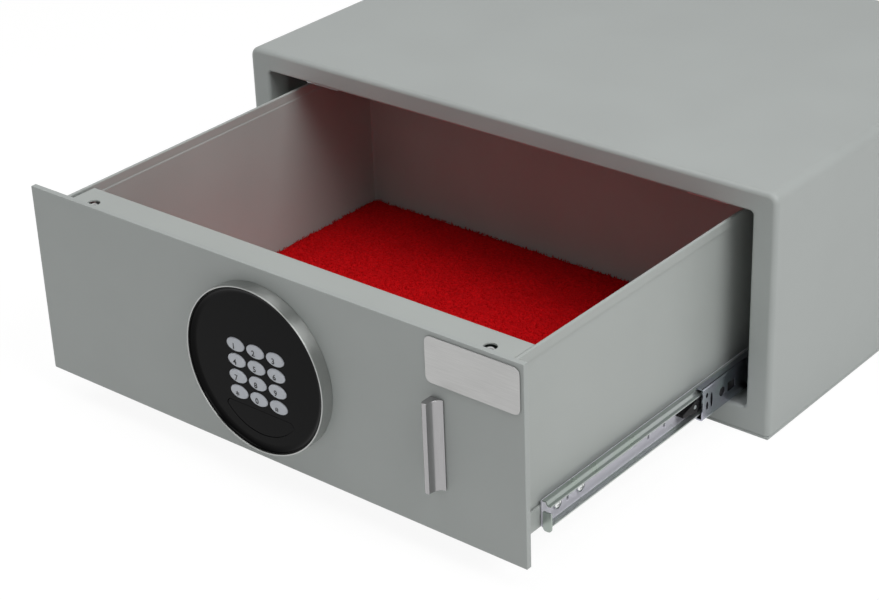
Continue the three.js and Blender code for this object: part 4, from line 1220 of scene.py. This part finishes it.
matShape = {
    "pad": 4.2 * mm,
    "grid": (150, 114),
    "lumps": (9 * mm, 0.35 * mm),
    "lumpSeed": 5,
    "rimDip": (1.2 * mm, 2.5 * mm),      # how far the top dips at the rim, and over what width
    "wander": (1.2 * mm, 11 * mm, 2 * mm),       # how far the cut edge strays, over what length, and at most
    "wanderSeed": 3,
    "wanderBand": 3 * mm,
    "fibres": 42000,
    "fibreHeight": (1.2 * mm, 2.4 * mm),
    "fibreWidth": 0.45 * mm,
    "fibreSunk": 0.6 * mm,
    "fibreInset": 0.5 * mm,
    "fibreOver": 0.2 * mm,   # tips reach this far past the mat's edge
    "lean": (0.2, 0.9),      # least share of the fullest lean, and that as a share of the height
    "swirl": (0.8, 30 * mm, 9),          # strength, size and seed of the pile's shared lie
}


def smoothNoise(x, y, size, seed, waves=14):
    # a sum of waves in random directions, about size metres from crest to crest
    source = np.random.default_rng(seed)
    total = np.zeros_like(x)
    for _ in range(waves):
        heading, shift = source.uniform(0, 2 * math.pi), source.uniform(0, 6.28)
        length = size * source.uniform(0.6, 1.6)
        total += np.sin((x * math.cos(heading) + y * math.sin(heading)) * 2 * math.pi / length + shift)
    return total / waves ** 0.5


def feltMat(shape):
    # a closed slab on a grid: the top is lumpy, the rim dips and wanders, and the underside is flat
    low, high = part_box("drawer_mat")
    columns, rows = shape["grid"]
    u, v = np.meshgrid(np.linspace(0, 1, columns), np.linspace(0, 1, rows))
    x = low.x + (high.x - low.x) * u
    y = low.y + (high.y - low.y) * v
    size, depth = shape["lumps"]
    rim = np.minimum.reduce([x - low.x, high.x - x, y - low.y, high.y - y])
    dip, dipWidth = shape["rimDip"]
    fall = np.exp(-rim / dipWidth)
    reach, strayLength, most = shape["wander"]
    stray = reach * 0.5 * (1 + smoothNoise(x, y, strayLength, shape["wanderSeed"])) * fall
    stray = np.clip(stray, 0, most)
    middleX, middleY = (low.x + high.x) / 2, (low.y + high.y) / 2
    x = x - np.sign(x - middleX) * stray * (np.minimum(x - low.x, high.x - x) < shape["wanderBand"])
    y = y - np.sign(y - middleY) * stray * (np.minimum(y - low.y, high.y - y) < shape["wanderBand"])
    top = low.z + shape["pad"] + depth * smoothNoise(x, y, size, shape["lumpSeed"]) - dip * fall
    upper = np.stack([x, y, top], axis=-1)
    lower = np.stack([x, y, np.full_like(x, low.z)], axis=-1)
    index = np.arange(rows * columns).reshape(rows, columns)
    rimIndex = np.concatenate([index[0, :-1], index[:-1, -1], index[-1, :0:-1], index[:0:-1, 0]])
    wall = np.stack([upper.reshape(-1, 3)[rimIndex], lower.reshape(-1, 3)[rimIndex]])
    return makeObject("drawer_mat_felt", [
        surface(upper, closeRing=False, capFirst=False, capLast=False),
        surface(lower, closeRing=False, capFirst=False, capLast=False),
        surface(wall, capFirst=False, capLast=False)])


def feltPile(shape):
    # each fibre tip is a thin three-sided spike: base corners at 120 degrees, and a tip leaning aside
    low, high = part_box("drawer_mat")
    count = shape["fibres"]
    inset, over = shape["fibreInset"], shape["fibreOver"]
    x = rng.uniform(low.x + inset, high.x - inset, count)
    y = rng.uniform(low.y + inset, high.y - inset, count)
    size, depth = shape["lumps"]
    base = low.z + shape["pad"] + depth * smoothNoise(x, y, size, shape["lumpSeed"]) - shape["fibreSunk"]
    tall = rng.uniform(*shape["fibreHeight"], count)
    strength, swirlSize, swirlSeed = shape["swirl"]
    heading = rng.uniform(0, 2 * math.pi, count) + strength * smoothNoise(x, y, swirlSize, swirlSeed)
    least, lean = shape["lean"]
    lean = lean * rng.uniform(least, 1, count) * tall
    tip = np.stack([np.clip(x + lean * np.cos(heading), low.x - over, high.x + over),
                    np.clip(y + lean * np.sin(heading), low.y - over, high.y + over), base + tall], axis=-1)
    turn = rng.uniform(0, 2 * math.pi, count)
    corners = [np.stack([x + shape["fibreWidth"] * np.cos(turn + k * 2 * math.pi / 3),
                         y + shape["fibreWidth"] * np.sin(turn + k * 2 * math.pi / 3), base], axis=-1)
               for k in range(3)]
    points = np.stack([*corners, tip], axis=1).reshape(-1, 3)
    first = np.arange(count)[:, None] * 4
    faces = np.stack([first + np.array(f) for f in ([0, 1, 3], [1, 2, 3], [2, 0, 3], [0, 2, 1])], axis=1)
    mesh = bpy.data.meshes.new("drawer_mat_pile")
    mesh.from_pydata(points, [], faces.reshape(-1, 3).tolist())
    pile = bpy.data.objects.new("drawer_mat_pile", mesh)
    bpy.context.scene.collection.objects.link(pile)
    return pile


matFelt = feltMat(matShape)
deliver(matFelt, "red_carpet", bodyOf("drawer_mat"), ["drawer_mat"], angle=80)
matPile = feltPile(matShape)
matPile.data.materials.append(finishes["red_carpet"])
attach(matPile, "drawer")
print("mat made:", len(matPile.data.polygons), "fibre faces")


# Pieces inside that keep the frame's own shape take their finishes here

insideFinishes = {
    "zinc_steel": ["bolt_bar", "motor_bracket"],
    "bright_steel": ["drive_motor", "lead_screw", "handle_screw_1", "handle_screw_2"],
    "black_plastic": ["battery_holder"],
    "grey_rubber": ["key_membrane"],
    "green_board": ["circuit_board"],
    "cell_wrap": ["battery_1", "battery_2", "battery_3"],
}
for slotName, nodes in insideFinishes.items():
    for node in nodes:
        inside = frame["nodes"][node]
        inside.data.materials.clear()
        inside.data.materials.append(finishes[slotName])
print("inside pieces finished")


# Stage: a pale floor, soft lamps above and to the right, and an even surrounding light

stageLook = {
    "floor": "#f0f0ef",
    "floorHalf": 6,          # metres
    "floorHeights": (-0.021, -0.0002),
    "seenWhite": 0.85,       # share of plain white that the camera and the metals see in the floor
    "world": 0.24,
    "overhead": 0.3,         # how bright gloss sees the surroundings straight above; white at the horizon
    "screen": 0.95,          # and how bright it sees a white screen on the right
    "above": (13.5, 1.4, (-0.3, -0.55, 1.85)),       # watts, width and place of each lamp
    "right": (20, 1.2, (1.5, -0.4, 1.6)),
    "aim": (0.05, -0.2, 0.1),
}


def seenRays(tree):
    # 1 for what the camera, a mirror or a lens sees, and 0 for the light that falls on things
    path = addNode(tree, "ShaderNodeLightPath")
    first = addNode(tree, "ShaderNodeMath", {0: path.outputs["Is Camera Ray"],
                                             1: path.outputs["Is Glossy Ray"]}, operation="MAXIMUM")
    return addNode(tree, "ShaderNodeMath", {0: first.outputs[0], 1: path.outputs["Is Transmission Ray"]},
                   operation="MAXIMUM").outputs[0]


def paleFloor(look):
    # matt and pale, so that it keeps the safe's shadow, and mostly plain white where it is seen
    material, tree = newMaterial("pale_floor")
    matt = addNode(tree, "ShaderNodeBsdfDiffuse", {"Color": linear(look["floor"])})
    white = addNode(tree, "ShaderNodeEmission", {"Color": (1, 1, 1, 1), "Strength": 1.08})
    share = addNode(tree, "ShaderNodeMath", {0: seenRays(tree), 1: look["seenWhite"]}, operation="MULTIPLY")
    mixed = addNode(tree, "ShaderNodeMixShader", {0: share.outputs[0], 1: matt.outputs[0],
                                                  2: white.outputs[0]})
    finishWith(material, mixed)
    half = look["floorHalf"]
    outline = fourCorners(-half, half, -half, half, 0, 1)
    floor = makeObject("floor", [surface(carried(outline, "z", look["floorHeights"]))])
    floor.data.materials.append(material)


def surroundings(look):
    # gloss sees white at the horizon, falling to a dim ceiling as the way up, z, goes from 0 to 0.8,
    # and a white screen on the right, as the way across, x, goes from 0.15 to 0.5
    world = bpy.data.worlds.new("surroundings")
    bpy.context.scene.world = world
    world.use_nodes = True
    tree = world.node_tree
    tree.nodes.clear()
    soft = addNode(tree, "ShaderNodeBackground", {"Color": (1, 1, 1, 1), "Strength": look["world"]})
    way = addNode(tree, "ShaderNodeTexCoord")
    parts = addNode(tree, "ShaderNodeSeparateXYZ", {0: way.outputs["Generated"]})
    fade = spread(tree, parts.outputs[2], 1.0, look["overhead"], 0.0, 0.8)
    screen = spread(tree, parts.outputs[0], 0.0, look["screen"], 0.15, 0.5)
    pale = addNode(tree, "ShaderNodeMath", {0: fade, 1: screen}, operation="MAXIMUM")
    seen = addNode(tree, "ShaderNodeBackground", {"Color": (1, 1, 1, 1), "Strength": pale.outputs[0]})
    mixed = addNode(tree, "ShaderNodeMixShader", {0: seenRays(tree), 1: soft.outputs[0], 2: seen.outputs[0]})
    addNode(tree, "ShaderNodeOutputWorld", {"Surface": mixed.outputs[0]})


def softLamp(name, power, size, place):
    lamp = bpy.data.lights.new(name, "AREA")
    lamp.energy = power
    lamp.shape = "RECTANGLE"
    lamp.size = size
    lamp.size_y = size
    made = bpy.data.objects.new(name, lamp)
    made.location = place
    aim = Vector(stageLook["aim"]) - Vector(place)
    made.rotation_euler = aim.to_track_quat("-Z", "Y").to_euler()
    bpy.context.scene.collection.objects.link(made)


paleFloor(stageLook)
surroundings(stageLook)
for name in ("above", "right"):
    softLamp(name + "_lamp", *stageLook[name])
bpy.context.scene.view_settings.view_transform = "Standard"
print("stage ready")
